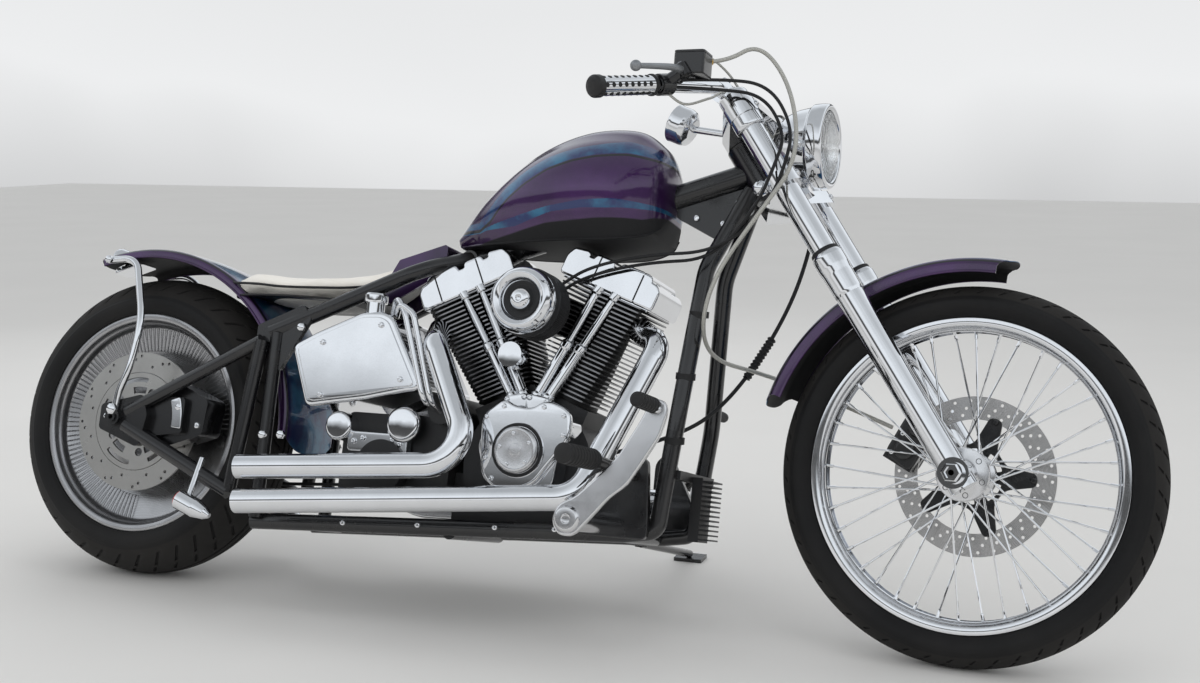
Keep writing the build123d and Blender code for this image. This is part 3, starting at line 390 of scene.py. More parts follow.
def eased(corners, radius=1.0, steps=4, closed=False):
    """Corners b become the curve (1-t)^2 a + 2t(1-t) b + t^2 c, where a and c lie on the two
    sides, back from the corner by the radius or by 0.45 of the shorter side."""
    b = np.asarray(corners, float)
    back, on = np.roll(b, 1, 0) - b, np.roll(b, -1, 0) - b
    lengths = [np.maximum(np.linalg.norm(side, axis=1, keepdims=True), 1e-9) for side in (back, on)]
    cut = np.minimum(radius, 0.45 * np.minimum(*lengths))
    a, c = b + back / lengths[0] * cut, b + on / lengths[1] * cut
    t = np.linspace(0, 1, steps)[:, None, None]
    curve = ((1 - t)**2 * a + 2 * t * (1 - t) * b + t**2 * c).transpose(1, 0, 2).reshape(-1, b.shape[1])
    return curve if closed else np.vstack([b[:1], curve[steps:-steps], b[-1:]])


def through(count, samples):
    """Matrix that samples the smooth curve through its points: between two of them a cubic
    whose end slopes are the steps between their neighbours."""
    t = np.linspace(0, count - 1, samples)
    i = np.minimum(t.astype(int), count - 2)
    u, rows = t - i, np.arange(samples)
    weights = np.zeros((samples, count))
    np.add.at(weights, (rows, i), 2 * u**3 - 3 * u**2 + 1)
    np.add.at(weights, (rows, i + 1), 3 * u**2 - 2 * u**3)
    for at, slope in ((i, u**3 - 2 * u**2 + u), (i + 1, u**3 - u**2)):
        low, high = np.maximum(at - 1, 0), np.minimum(at + 1, count - 1)
        np.add.at(weights, (rows, high), slope / (high - low))
        np.add.at(weights, (rows, low), -slope / (high - low))
    return weights


def smooth_line(points, samples=60):
    """A smooth curve through points."""
    return through(len(points), samples) @ np.asarray(points, float)


def lofted(net, rows):
    """A surface through a row of closed sections, smooth from one section to the next."""
    return np.einsum("ia,abk->ibk", through(len(net), rows), net)


print("a square with eased corners has", len(eased([(0, 0), (9, 0), (9, 9), (0, 9)], 2, 4, True)), "points")

# %% [markdown]
# ## Turned and bent surfaces
# Most parts of a motorcycle are turned on a lathe or bent from tube. Blender's Spin tool and
# Screw modifier make the first and a bevelled curve the second. Written as sums over whole
# arrays, both take any axis and any radius along the way.


# %% Lathe and tube


def turned_on(profile, centre, axis=SIDE, n=48):
    """A lathe: each (distance, radius) goes to the centre plus the distance along the axis plus
    the radius times the cosine and the sine of every angle, along two square directions."""
    axis, first, second = square_to(axis)
    angle = np.linspace(0, 2 * np.pi, n, endpoint=False)[:, None]
    ring = np.cos(angle) * first + np.sin(angle) * second
    distance, radius = np.asarray(profile, float).T[:, :, None, None]
    return np.asarray(centre, float) + distance * axis + radius * ring


def carried(path, radius, n=16):
    """A tube: a ring stands square to the path at each point, and its start direction is
    carried along by taking away its share along the path's new direction."""
    path = np.asarray(path, float)
    ahead = unit(np.gradient(path, axis=0))
    side, start = np.empty_like(path), square_to(ahead[0])[1]
    for i, direction in enumerate(ahead):
        start = unit(start - direction * (start @ direction))
        side[i] = start
    other = np.cross(ahead, side)
    angle = np.linspace(0, 2 * np.pi, n, endpoint=False)[None, :, None]
    radius = np.broadcast_to(radius, len(path))[:, None, None]
    return path[:, None] + radius * (np.cos(angle) * side[:, None] + np.sin(angle) * other[:, None])


print("a ring of", turned_on([(0, 5)], (0, 0, 0)).shape[1], "points")

# %% [markdown]
# ## Flat outlines
# Discs, covers and brackets are cut from plate or cast with flat faces. Their outlines are lists
# of 2-D points: circles, slots along an arc, rounded rectangles, and points on a ring for bolts.


# %% Outlines
def circle(x, y, radius, n=24):
    """Points at equal angles on a circle."""
    angle = np.linspace(0, 2 * np.pi, n, endpoint=False)
    return np.stack([x + radius * np.cos(angle), y + radius * np.sin(angle)], 1)


def arc_slot(radius, half, start, end, n=10):
    """A kidney-shaped hole: two arcs a given half width each side of a radius."""
    angle = np.radians(np.linspace(start, end, n))
    outer = np.stack([np.cos(angle), np.sin(angle)], 1)
    return eased(np.vstack([(radius + half) * outer, (radius - half) * outer[::-1]]), half, 3, closed=True)


def rounded_box(x, y, radius, steps):
    """A rectangle from -x to x and from -y to y with eased corners."""
    return eased([(-x, -y), (x, -y), (x, y), (-x, y)], radius, steps, closed=True)


def on_ring(centre, radius, count, start, y=0.0):
    """Points at equal angles on an upright ring round a wheel's or shaft's axis: the cosine goes
    forward and the sine up, and all stand y to the left of the centre."""
    angles = [math.radians(start + 360 / count * k) for k in range(count)]
    return [centre + np.array([radius * math.cos(a), y, radius * math.sin(a)]) for a in angles]


print("a slot has", len(arc_slot(46, 5, 14, 58)), "points")

# %% [markdown]
# ## Plates
# A plate with holes is hard to fill by hand, because its faces have to run round every hole. A
# flat Blender curve does it: loops inside loops become holes, the fill is extruded, and the edge
# gets a small round. The curve is made a mesh at once and thrown away.


# %% A filled outline
def filled(loops, thick, edge, steps):
    """Points and faces of a plate in its own flat frame, middle at height zero."""
    curve = bpy.data.curves.new("outline", "CURVE")
    curve.dimensions, curve.fill_mode = "2D", "BOTH"
    curve.extrude, curve.bevel_depth, curve.bevel_resolution = thick / 2 - edge, edge, steps
    for loop in loops:
        spline = curve.splines.new("POLY")
        spline.points.add(len(loop) - 1)
        corners = np.hstack([loop, np.zeros((len(loop), 1)), np.ones((len(loop), 1))])
        spline.points.foreach_set("co", corners.ravel())
        spline.use_cyclic_u = True
    mesh = meshed(curve)
    flat = np.zeros(len(mesh.vertices) * 3)
    mesh.vertices.foreach_get("co", flat)
    faces = [list(face.vertices) for face in mesh.polygons]
    bpy.data.meshes.remove(mesh)
    return flat.reshape(-1, 3), faces


def meshed(curve):
    """The mesh of a curve with its thickness, and the curve is removed."""
    holder = shown("outline", curve)
    mesh = bpy.data.meshes.new_from_object(holder.evaluated_get(bpy.context.evaluated_depsgraph_get()))
    bpy.data.objects.remove(holder)
    bpy.data.curves.remove(curve)
    return mesh


print("a washer has", len(filled([circle(0, 0, 9), circle(0, 0, 4)], 2, 0.2, 0)[1]), "faces")

# %% [markdown]
# ## Clean meshes
# Grids that meet share corners, and a mesh from code can have doubled points and faces that look
# inwards. Both show as dark seams. So every mesh is merged, its faces are turned outwards, and
# edges that are truly sharp stay sharp while the rest is shaded smooth. A finished mesh is then
# shown as an object and handed to the body of the machine that carries it.


# %% Merging, shading and handing over
def cleaned(mesh, sharp, closed):
    """Merges doubles, turns the faces of a closed mesh outwards and marks edges past an angle."""
    work = bmesh.new()
    work.from_mesh(mesh)
    bmesh.ops.remove_doubles(work, verts=work.verts, dist=DOUBLES)
    bmesh.ops.dissolve_degenerate(work, edges=work.edges, dist=NO_LENGTH)
    if closed:
        bmesh.ops.recalc_face_normals(work, faces=work.faces)
    work.to_mesh(mesh)
    work.free()
    mesh.polygons.foreach_set("use_smooth", np.ones(len(mesh.polygons), bool))
    mesh.set_sharp_from_angle(angle=math.radians(sharp))


def settled(name, mesh, body, finish, replaces=()):
    """Shows a mesh with its finish, rides it on a body, and hides the CAD nodes it stands for. A pair
    of places as the body leaves it on no body, with its transform baked in; the pair bends nothing."""
    mesh.materials.clear()
    mesh.materials.append(finish.material)
    made = shown(name, mesh)
    if isinstance(body, tuple):
        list(map(placed, body))
        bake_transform(made)
    else:
        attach(made, body)
    if replaces:
        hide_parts(*([replaces] if isinstance(replaces, str) else replaces))
    print(name, "faces:", len(mesh.polygons))
    return made


DOUBLES, NO_LENGTH = 2e-6, 1e-7
print("points closer than", DOUBLES * 1000, "mm are merged")

# %% [markdown]
# ## Shape, a workbench for one piece
# A piece such as a wheel is many simple surfaces that belong together. A Shape collects their
# points and faces in upright millimetres, and its last method makes one mesh, placed on the
# parked machine. Joining separate Blender objects would give the same, but slower.


# %% Shape: grids gathered into one mesh
class Shape:
    """Points in upright millimetres and the faces between them, for one piece."""

    def __init__(self):
        self.points, self.quads, self.others, self.count = [], [np.zeros((0, 4), int)], [], 0
        self.plates = False

    def grid(self, points, wrap_u=False, wrap_v=False, caps=False):
        """Quads between neighbouring rows and columns of a (rows, columns, 3) array."""
        rows, columns = points.shape[:2]
        index = np.arange(rows * columns).reshape(rows, columns) + self.count
        if caps:
            self.others += [index[0].tolist(), index[-1].tolist()]
        if wrap_u:
            index = np.vstack([index, index[:1]])
        if wrap_v:
            index = np.hstack([index, index[:, :1]])
        corners = index[:-1, :-1], index[1:, :-1], index[1:, 1:], index[:-1, 1:]
        self.quads.append(np.stack(corners, -1).reshape(-1, 4))
        self.points.append(points.reshape(-1, 3))
        self.count += rows * columns
        return self

    def lathe(self, profile, centre, axis=SIDE, n=48, wrap_u=False):
        """A turned surface; see turned_on."""
        return self.grid(turned_on(profile, centre, axis, n), wrap_u, True)

    def tube(self, path, radius, n=16):
        """A tube with flat ends; see carried."""
        return self.grid(carried(path, radius, n), wrap_v=True, caps=True)

    def plate(self, loops, thick, origin, across=(1, 0, 0), up=(0, 0, 1), edge=1.0, steps=2):
        """A filled outline, laid on two directions of the machine."""
        flat, faces = filled(loops, thick, edge, steps)
        across, up = unit(across), unit(up)
        self.others += [[i + self.count for i in face] for face in faces]
        self.points.append(np.asarray(origin, float) + flat @ np.stack([across, up, np.cross(across, up)]))
        self.count += len(flat)
        self.plates = True
        return self

    def bolt(self, point, axis, radius, high=None):
        """A button head with a hexagon socket."""
        high = high or 0.7 * radius
        profile = [(-1, radius), (0.35 * high, radius), (0.85 * high, 0.8 * radius), (high, 0.5 * radius),
                   (high, 0.45 * radius), (0.4 * high, 0.42 * radius), (0.4 * high, 0)]
        return self.lathe(profile, point, axis, 12)

    def nut(self, point, axis, radius, high):
        """A hexagon with a domed face."""
        self.lathe([(-1, radius), (0.8 * high, radius), (high, 0.86 * radius)], point, axis, 6)
        return self.lathe([(0, 0.85 * radius), (high, 0.8 * radius), (1.25 * high, 0.4 * radius),
                           (1.3 * high, 0)], point, axis, 16)

    def piece(self, name, body, finish, turned=False, replaces=(), sharp=32, closed=True, fields=None):
        """One clean mesh on its body. Fields are numbers that each point carries."""
        mesh = bpy.data.meshes.new(name)
        points = placed(np.concatenate(self.points), turned)
        mesh.from_pydata(points.tolist(), [], np.concatenate(self.quads).tolist() + self.others)
        for field, values in (fields or {}).items():
            values = np.asarray(values, np.float32)
            mesh.attributes.new(field, "FLOAT", "POINT").data.foreach_set("value", values)
        cleaned(mesh, sharp, closed)
        made = settled(name, mesh, body, finish, replaces)
        if self.plates:
            made.modifiers.new("flat_faces", "WEIGHTED_NORMAL").keep_sharp = True
        return made


print("an empty Shape has", Shape().count, "points")

# %% [markdown]
# ## Bright metal
# Chrome is a mirror with a little life in it: smudges change its roughness, and it is never
# quite flat. Polished and machined aluminium are the same idea with a rougher, greyer skin.

# %% A bright metal

def bright(slot, colour, rough, spread, wave=0.0, name=None):
    """A metal whose roughness follows soft clouds of handling marks and fine scratches."""
    made = Finish(slot, name)
    cloud, scratch = made.noise(14, 4), made.noise(420, 2)
    marks = (cloud * 0.7 + scratch * 0.3).between(0.35, 0.75)
    made.set(Base_Color=made.mix(colour, tuple(0.9 * c for c in colour), marks), Metallic=1.0,
             Roughness=marks * spread + rough)
    return made.bump(made.noise(30, 2) + scratch * 0.3, 0.02 + wave, 0.0008)


print("bright metal can be mixed")

# %% [markdown]
# ## Which bright metals
# Chrome is the smoothest and palest, the rims nearly so. Covers are polished aluminium, which has
# a softer shine, and small levers are raw castings. One fitting is brass.

# %% Chrome, aluminium, castings and brass
CHROME = bright("chrome", (0.83, 0.84, 0.86), 0.035, 0.07)
POLISHED = bright("polished_aluminium", (0.74, 0.74, 0.75), 0.13, 0.16)
RIM = bright("spoked_rim", (0.80, 0.81, 0.83), 0.06, 0.10)
CASTING = bright("grey_casting", (0.34, 0.35, 0.36), 0.42, 0.25, 0.18)
BRASS = bright("grey_casting", (0.52, 0.34, 0.13), 0.24, 0.2, name="brass")
print("bright metals ready")

# %% [markdown]
# ## Turned steel
# Discs and the rear wheel come off a lathe, whose tool leaves fine rings round the axle. A picture
# of brushed metal could be laid on, but rings that are a sine of the distance from the axle stay
# true from any side and at any scale.


# %% Steel with lathe rings
def machined(slot, colour, rough, hub, axis, pitch, name=None):
    """Rings left by a lathe tool: a sine of the distance from the axle, broken up by noise."""
    made = Finish(slot, name)
    rings = (made.from_line(hub, axis) * (2 * math.pi / pitch)).sine()
    cloud = made.noise(22, 4)
    dull = rings * 0.12 + cloud * 0.6
    made.set(Base_Color=made.mix(colour, tuple(0.72 * c for c in colour), dull.between(0.1, 0.6)),
             Metallic=1.0, Roughness=dull * 0.16 + rough)
    return made.bump(rings, 0.05, 0.0003)


AXLE_LINE = LEANED @ SIDE
FRONT_AXLE_LINE = LEANED @ TURNED @ SIDE
FRONT_HUB = placed(FRONT_AXLE, True)
WHEEL_METAL = machined("cast_wheel", (0.46, 0.46, 0.47), 0.24, HUB_AT, AXLE_LINE, 0.0035)
REAR_STEEL = machined("brake_steel", (0.50, 0.49, 0.47), 0.26, HUB_AT, AXLE_LINE, 0.0022, "rear_disc_steel")
FRONT_STEEL = machined("brake_steel", (0.56, 0.55, 0.54), 0.22, FRONT_HUB, FRONT_AXLE_LINE, 0.0022)
print("turned metals ready")

# %% [markdown]
# ## Paint
# The body colour is a candy: a dark purple coat over fine metal flake, under clear lacquer.
# Stripes could be painted by hand on an unwrapped surface. Here each painted surface carries a
# few numbers at every point, worked out when its shape is: how far the point is from the middle
# of an upper and a lower blue band, in half widths, how far from the dark pinstripe, and how far
# past the edge of the underside, where shade is painted: there the paint turns matt near-black
# with no lacquer. The material only asks whether they are small or large.

# %% Candy purple with blue bands
DARK_PURPLE, LIT_PURPLE = (0.016, 0.004, 0.036), (0.050, 0.012, 0.092)
CANDY = Finish("purple_paint")
flake = CANDY.cells(2600, "Color")
sparkle = CANDY.node("ShaderNodeSeparateXYZ", None, {0: flake})
drift = CANDY.noise(7, 4)
deep = CANDY.mix(DARK_PURPLE, LIT_PURPLE, drift.between(0.35, 0.7))
plum = CANDY.mix(deep, (0.14, 0.04, 0.18), (sparkle > 0.82) * 0.30)
blue = CANDY.mix((0.006, 0.022, 0.12), (0.012, 0.14, 0.27), CANDY.noise(16, 4).between(0.4, 0.62))
band = abs(CANDY.attribute("band")).math("MINIMUM", abs(CANDY.attribute("low_band")))
# Painted shade: under is 0 above the underside's edge and 1 past it, where the paint turns matt near-black
pin, under = abs(CANDY.attribute("pin")), CANDY.attribute("under").between(-1, 1)
striped = CANDY.mix(plum, blue, 1 - band.between(0.86, 1.06))
lined = CANDY.mix(striped, (0.004, 0.004, 0.008), 1 - pin.between(0.9, 1.1))
# Painted shade on the underside: near-black colour, no metal, rougher, no lacquer
CANDY.set(Base_Color=CANDY.mix(lined, (0.004, 0.004, 0.005), under), Metallic=0.55 - under * 0.55,
          Roughness=sparkle * 0.12 + under * 0.35 + 0.30, Coat_Weight=1 - under, Coat_Roughness=0.03)
CANDY.bump(CANDY.noise(160, 2), 0.02, 0.0006)
print("candy has", len(CANDY.tree.nodes), "nodes")

# %% [markdown]
# ## The panel without stripes
# The plain painted panel has no such numbers, and a missing attribute reads as zero, which would
# make it all band. So it gets its own finish with the same purple.

# %% Plain candy
PANEL = Finish("purple_paint", "purple_panel")
PANEL.set(Base_Color=PANEL.mix(DARK_PURPLE, LIT_PURPLE, PANEL.noise(7, 4).between(0.35, 0.7)),
          Metallic=0.55, Roughness=PANEL.noise(900, 1) * 0.2 + 0.24, Coat_Weight=1.0, Coat_Roughness=0.03)
print("panel has", len(PANEL.tree.nodes), "nodes")

# %% [markdown]
# ## Black paint, plastic and rubber
# Most of the machine is black, and what tells its blacks apart is how they shine: the frame is
# lacquered, the engine matt and grainy, rubber duller still. One recipe with four numbers makes
# them all.


# %% Blacks
def black_paint(slot, rough, coat, grain, strength, name=None):
    """Nearly black, with road dust in the clouds of a noise and a grain in its surface."""
    made = Finish(slot, name)
    dust = made.noise(9, 5).between(0.52, 0.85)
    made.set(Base_Color=made.mix((0.005, 0.005, 0.006), (0.020, 0.019, 0.018), dust),
             Roughness=dust * 0.18 + rough, Coat_Weight=coat, Coat_Roughness=0.08)
    return made.bump(made.noise(grain, 3), strength, 0.0006)


FRAME_BLACK = black_paint("black_frame", 0.26, 0.45, 120, 0.03)
ENGINE_BLACK = black_paint("black_engine", 0.42, 0.0, 900, 0.5)
PLASTIC = black_paint("black_plastic", 0.38, 0.0, 1400, 0.25)
RUBBER = black_paint("black_rubber", 0.55, 0.0, 500, 0.2)
print("blacks ready")

# %% [markdown]
# ## Cylinders with bright fin edges
# The barrels are black, but the rim of each fin is machined back to bare metal. The fins grow
# towards the head, so the mask compares a point's distance from the cylinder's middle with the
# fin's half width at that height.

# %% Fin finish
CRANK = np.array([885.0, 0.0, 290.0])
TILTS = {"front": 20.0, "rear": -25.0}
FIN_FOOT, FIN_RISE = 0.158, 0.214
EDGE_ACROSS, GROWS_ACROSS, EDGE_SIDE, GROWS_SIDE = 0.0594, 0.037, 0.0664, 0.014


def cylinder_lines(tilt):
    """Across, out to the left, and away from the crank, for one cylinder, on the upright machine."""
    angle = math.radians(tilt)
    across, away = (math.cos(angle), 0, -math.sin(angle)), (math.sin(angle), 0, math.cos(angle))
    return np.array(across), SIDE, np.array(away)


def engine_at(tilt, across, side, along):
    """A point of a cylinder: across it, out to the left, and along it from the crank."""
    a, s, u = cylinder_lines(tilt)
    return CRANK + across * a + side * s + along * u


def finned(name, tilt):
    """Black with bare metal where either distance from the cylinder's middle is past the edge."""
    made = Finish("black_engine", name)
    crank = placed(CRANK)
    across, left, up = (tuple(LEANED @ line) for line in cylinder_lines(tilt))
    height = made.along(crank, up)
    share = (height - FIN_FOOT) / FIN_RISE
    edge_x = abs(made.along(crank, across)) - (share * GROWS_ACROSS + EDGE_ACROSS)
    edge_y = abs(made.along(crank, left)) - (share * GROWS_SIDE + EDGE_SIDE)
    rim = edge_x.math("MAXIMUM", edge_y) > 0
    dust = made.noise(11, 4).between(0.5, 0.8)
    black = made.mix((0.008, 0.008, 0.009), (0.03, 0.028, 0.026), dust)
    made.set(Base_Color=made.mix(black, (0.30, 0.30, 0.31), rim), Metallic=rim * 1.0,
             Roughness=rim * -0.22 + 0.5)
    return made.bump(made.noise(700, 2), 0.25, 0.0004)


FINS = {end: finned("fins_" + end, tilt) for end, tilt in TILTS.items()}
print("fins ready")

# %% [markdown]
# ## Tyre rubber and leather
# Tyre rubber is a dull dark grey, dustier on the tread than on the walls. The seat is smooth
# white leather, soiled in soft clouds. Small cells give it a grain, which is quicker than a
# picture of leather and shows no seam.

# %% Rubber and leather
TYRE = Finish("tyre")
road_dust = TYRE.noise(5, 5).between(0.4, 0.8)
tread = TYRE.attribute("tread")
TYRE.set(Base_Color=TYRE.mix((0.006, 0.006, 0.0065), (0.030, 0.028, 0.026), road_dust * 0.4 + tread * 0.4),
         Roughness=tread * 0.15 + 0.66, Specular_IOR_Level=0.3)
TYRE.bump(TYRE.noise(900, 2), 0.2, 0.0004)

LEATHER = Finish("white_leather")
grain = LEATHER.cells(900)
soil = LEATHER.noise(12, 5).between(0.5, 0.9)
LEATHER.set(Base_Color=LEATHER.mix((0.80, 0.78, 0.73), (0.62, 0.58, 0.50), soil * 0.55),
            Roughness=grain * 0.25 + 0.38)
LEATHER.bump(grain, 0.22, 0.0005)
print("rubber and leather ready")

# %% [markdown]
# ## Glass
# The headlight's glass is ribbed upright. The ribs could be cut into the mesh, but they are finer
# than its faces, so a sine of the sideways distance bends the light instead. The red lenses have
# a pebbled inside, and nothing behind them shows, so they are a coated red.

# %% Clear and red glass
GLASS = Finish("lens_glass")
ribs = (GLASS.along(FRONT_HUB, FRONT_AXLE_LINE) * 900).sine()
GLASS.set(Base_Color=GLASS.mix((0.97, 0.98, 0.98), (0.90, 0.92, 0.93), GLASS.noise(30, 2)), Roughness=0.03,
          Transmission_Weight=0.96, IOR=1.46)
GLASS.bump(ribs, 0.35, 0.0012)

RED_GLASS = Finish("lens_glass", "red_glass")
RED_GLASS.set(Base_Color=RED_GLASS.mix((0.35, 0.006, 0.006), (0.55, 0.02, 0.02), RED_GLASS.noise(60, 2)),
              Roughness=0.12, Coat_Weight=0.8)
RED_GLASS.bump(RED_GLASS.cells(260), 0.5, 0.001)
print("glass ready")

# %% [markdown]
# ## Braided hose
# The brake hose wears a braid of pale wire. Two sets of waves that cross, one on x + z and one on
# x - z, make small lozenges. The weave is so fine that its run along the hose isn't needed.

# %% Braid
BRAID = Finish("braid")
spot = BRAID.node("ShaderNodeSeparateXYZ", None, {0: BRAID.place()})
rise = BRAID.node("ShaderNodeSeparateXYZ", None, {0: BRAID.place()}, output=2)
weave = abs(((spot + rise) * 1900).sine()) * abs(((spot - rise) * 1900).sine())
BRAID.set(Base_Color=BRAID.mix((0.16, 0.16, 0.15), (0.66, 0.65, 0.60), weave.between(0.0, 0.45)),
          Metallic=0.7, Roughness=weave * -0.2 + 0.5)
BRAID.bump(weave, 0.5, 0.0004)
print("braid ready")

# %% [markdown]
# ## Dressing the CAD parts
# Where a solid's own shape is right it stays, and only takes a finish. The list runs over every
# node, so none is left with the plain colour that it was packed with.

# %% A finish for every node
DRESS = {
    CHROME: "fender_struts pushrod_tubes exhaust_pipe_front exhaust_pipe_rear oil_filter oil_lines "
            "bullet_lamps fork_leg_left fork_leg_right lower_yoke upper_yoke handlebar headlight_shell "
            "speedometer rocker_box_front rocker_box_rear cam_cover air_cleaner oil_tank front_axle",
    POLISHED: "primary_cover",
    PANEL: "fuel_tank side_cover rear_fender front_fender",
    FRAME_BLACK: "frame_backbone frame_loop_left frame_loop_right frame_rear_left frame_rear_right "
                 "frame_cross_tubes swingarm_left swingarm_right stand_bracket side_stand rear_axle "
                 "rear_caliper front_caliper",
    ENGINE_BLACK: "crankcase gearbox regulator carburettor",
    CASTING: "right_controls left_controls brake_lever clutch_lever",
    TYRE: "front_tyre rear_tyre", RUBBER: "drive_belt clutch_cable throttle_cables", LEATHER: "seat",
    RIM: "front_wheel_rim", WHEEL_METAL: "rear_wheel_disc", FRONT_STEEL: "front_brake_disc",
    REAR_STEEL: "rear_brake_disc", GLASS: "headlight_lens", BRAID: "brake_hose",
    FINS["front"]: "cylinder_front", FINS["rear"]: "cylinder_rear",
}
for finish, names in DRESS.items():
    for name in names.split():
        for place in frame["nodes"][name].material_slots:
            place.material = finish.material
dressed = {name for names in DRESS.values() for name in names.split()}
print("dressed", len(dressed), "of", len(frame["nodes"]), "left:", sorted(set(frame["nodes"]) - dressed))

# %% [markdown]
# ## Tyres
# A road tyre is a round crown with grooves cut in it. Its surface is a profile carried round the
# axle. The rows of the profile are set where grooves start and end, and the columns come in
# groups, one group to a tread pitch, so both kinds of groove have crisp walls with few faces.
# Shifting each row round the wheel in step with its distance from the crown makes the cross
# grooves slant, and the grid slants with them.


# %% Tyre surface
def tyre(name, centre, radius, crown, half, lip, bead, seats, rows, pitches, slant, body, turned):
    """Crown rows are (distance from the crown, ring depth, cross depth), all in mm. Their points
    lie on a circle of the crown's radius. Each wall is a parabola through lip, waist and shoulder,
    with three small rings. A groove moves a point inwards along the crown's own radius."""
    rows = np.array(rows, float)
    rows = np.vstack([rows[:0:-1] * (-1, 1, 1), rows])
    phi = rows[:, 0] / crown
    tread_y, tread_r = crown * np.sin(phi), radius - crown + crown * np.cos(phi)
    t = np.linspace(0, 1, 22)[:-1]
    y1, r1 = tread_y[-1], tread_r[-1]
    waist = (r1 + lip) / 2
    ease = [(1 - t) * (1 - 2 * t), 4 * t * (1 - t), t * (2 * t - 1)]
    rings = ((0.9, 0.16, 0.03), (0.7, 0.78, 0.025), (-0.6, 0.90, 0.02))
    swell = sum(high * np.exp(-((t - at) / wide)**2) for high, at, wide in rings)
    wall_y = seats[2] * ease[0] + half * ease[1] + y1 * ease[2] + swell
    wall_r = lip * ease[0] + waist * ease[1] + r1 * ease[2]
    y = np.concatenate([[-seats[0], -seats[1]], -wall_y, tread_y, wall_y[::-1], [seats[1], seats[0]]])
    r = np.concatenate([[bead, lip], wall_r, tread_r, wall_r[::-1], [lip, bead]])
    n = len(t) + 2
    columns = (rows[:, 1], rows[:, 2], phi, abs(rows[:, 0]))
    ring, cross, lean, shift = (np.pad(value, n) for value in columns)
    shift[:n] = shift[n]
    shift[-n:] = shift[-n - 1]
    steps = np.array([0, 0.03, 0.13, 0.16, 0.4, 0.6, 0.8])
    cut = np.array([0, 1, 1, 0, 0, 0, 0])
    angle = 2 * np.pi * (np.arange(pitches)[:, None] + steps).ravel() / pitches
    angle = angle[None] + (slant * shift / radius)[:, None]
    depth = np.maximum(ring[:, None], cross[:, None] * np.tile(cut, pitches)[None])
    across = y[:, None] - depth * np.sin(lean)[:, None]
    away = r[:, None] - depth * np.cos(lean)[:, None]
    points = np.stack([away * np.cos(angle), across, away * np.sin(angle)], -1) + centre
    field = np.zeros(points.shape[:2])
    field[n:-n] = 1 - 0.7 * (depth[n:-n] > 0.5)
    shape = Shape().grid(points, wrap_u=True, wrap_v=True)
    return shape.piece(name, body, TYRE, turned, name[:-6], sharp=50, fields={"tread": field.ravel()})


print("one surface serves both tyres")

# %% [markdown]
# ## Two tyres, two treads
# The front tyre is narrow and round, with one ring down its middle and cross cuts at the shoulders.
# The rear one is wide, with two rings and longer cuts. Only the numbers differ.

# %% Both tyres
FRONT_TREAD = [(0, 3, 0), (2.2, 3, 0), (2.8, 0, 0), (8, 0, 0), (8.6, 0, 3.2), (20, 0, 3.2), (24, 0, 3.2),
               (24.6, 0, 0), (28, 0, 0), (28.6, 0, 3), (38, 0, 2.2), (39, 0, 0), (43.4, 0, 0)]
REAR_TREAD = [(0, 0, 0), (6, 0, 0), (6.8, 4, 0), (12, 4, 0), (12.8, 0, 0), (20, 0, 0), (20.8, 0, 4),
              (34, 0, 4), (42, 0, 4), (43, 0, 0), (50, 0, 0), (51, 0, 4), (66, 0, 4), (84, 0, 2.5),
              (86, 0, 0), (98, 0, 0)]
tyre("front_tyre_tread", FRONT_AXLE, 340, 42, 43, 281.5, 270, (22, 25, 29), FRONT_TREAD, 52, 0.9,
     "front_wheel", True)
tyre("rear_tyre_tread", REAR_AXLE, 316, 95, 88, 231, 218, (68, 72, 77), REAR_TREAD, 38, 0.8,
     "rear_wheel", False)

# %% [markdown]
# ## Front rim
# The rim is a rolled section: two round lips, a bright wall and a deep well. It could be a bent
# tube with a cut, but a closed section on the lathe gives the real one's inside too.

# %% Rim
rim_outer = [(29, 266), (30.5, 272), (30, 280.5), (26.5, 281.5), (24, 270), (13, 262)]
rim_inner = [(13, 256), (20, 258), (25, 264)]
rim = eased(rim_outer + [(-y, r) for y, r in rim_outer[::-1]] + [(-y, r) for y, r in rim_inner]
            + rim_inner[::-1], 2.5, 4, closed=True)
rim_shape = Shape().lathe(rim, FRONT_AXLE, n=144, wrap_u=True)
rim_shape.piece("front_rim", "front_wheel", RIM, True, "front_wheel_rim")

# %% [markdown]
# ## Forty spokes
# Spokes run from two hub flanges to the rim, each set crossing the other, and each one ends in a
# nipple. An array modifier can't cross them, so a loop works out both ends of every spoke: the
# foot stands 34 degrees ahead of the end, or behind it.

# %% Spokes
spokes = Shape()
for i in range(40):
    side, cross = (1 if i % 2 else -1), (34 if i % 4 < 2 else -34)
    out, at = math.radians(9 * i), math.radians(9 * i + cross)
    foot = FRONT_AXLE + (41 * math.cos(at), side * 33, 41 * math.sin(at))
    end = FRONT_AXLE + (259 * math.cos(out), side * 8, 259 * math.sin(out))
    way = unit(end - foot)
    spokes.tube([foot, end], 1.9, 8)
    spokes.lathe([(-16, 2.2), (-15, 3.0), (-3, 3.2), (0, 4.6), (3, 4.6)], end, way, 8)
    spokes.lathe([(-2, 3.6), (2.5, 3.4), (3, 1.8)], foot, way, 8)
spokes.piece("front_spokes", "front_wheel", CHROME, True)
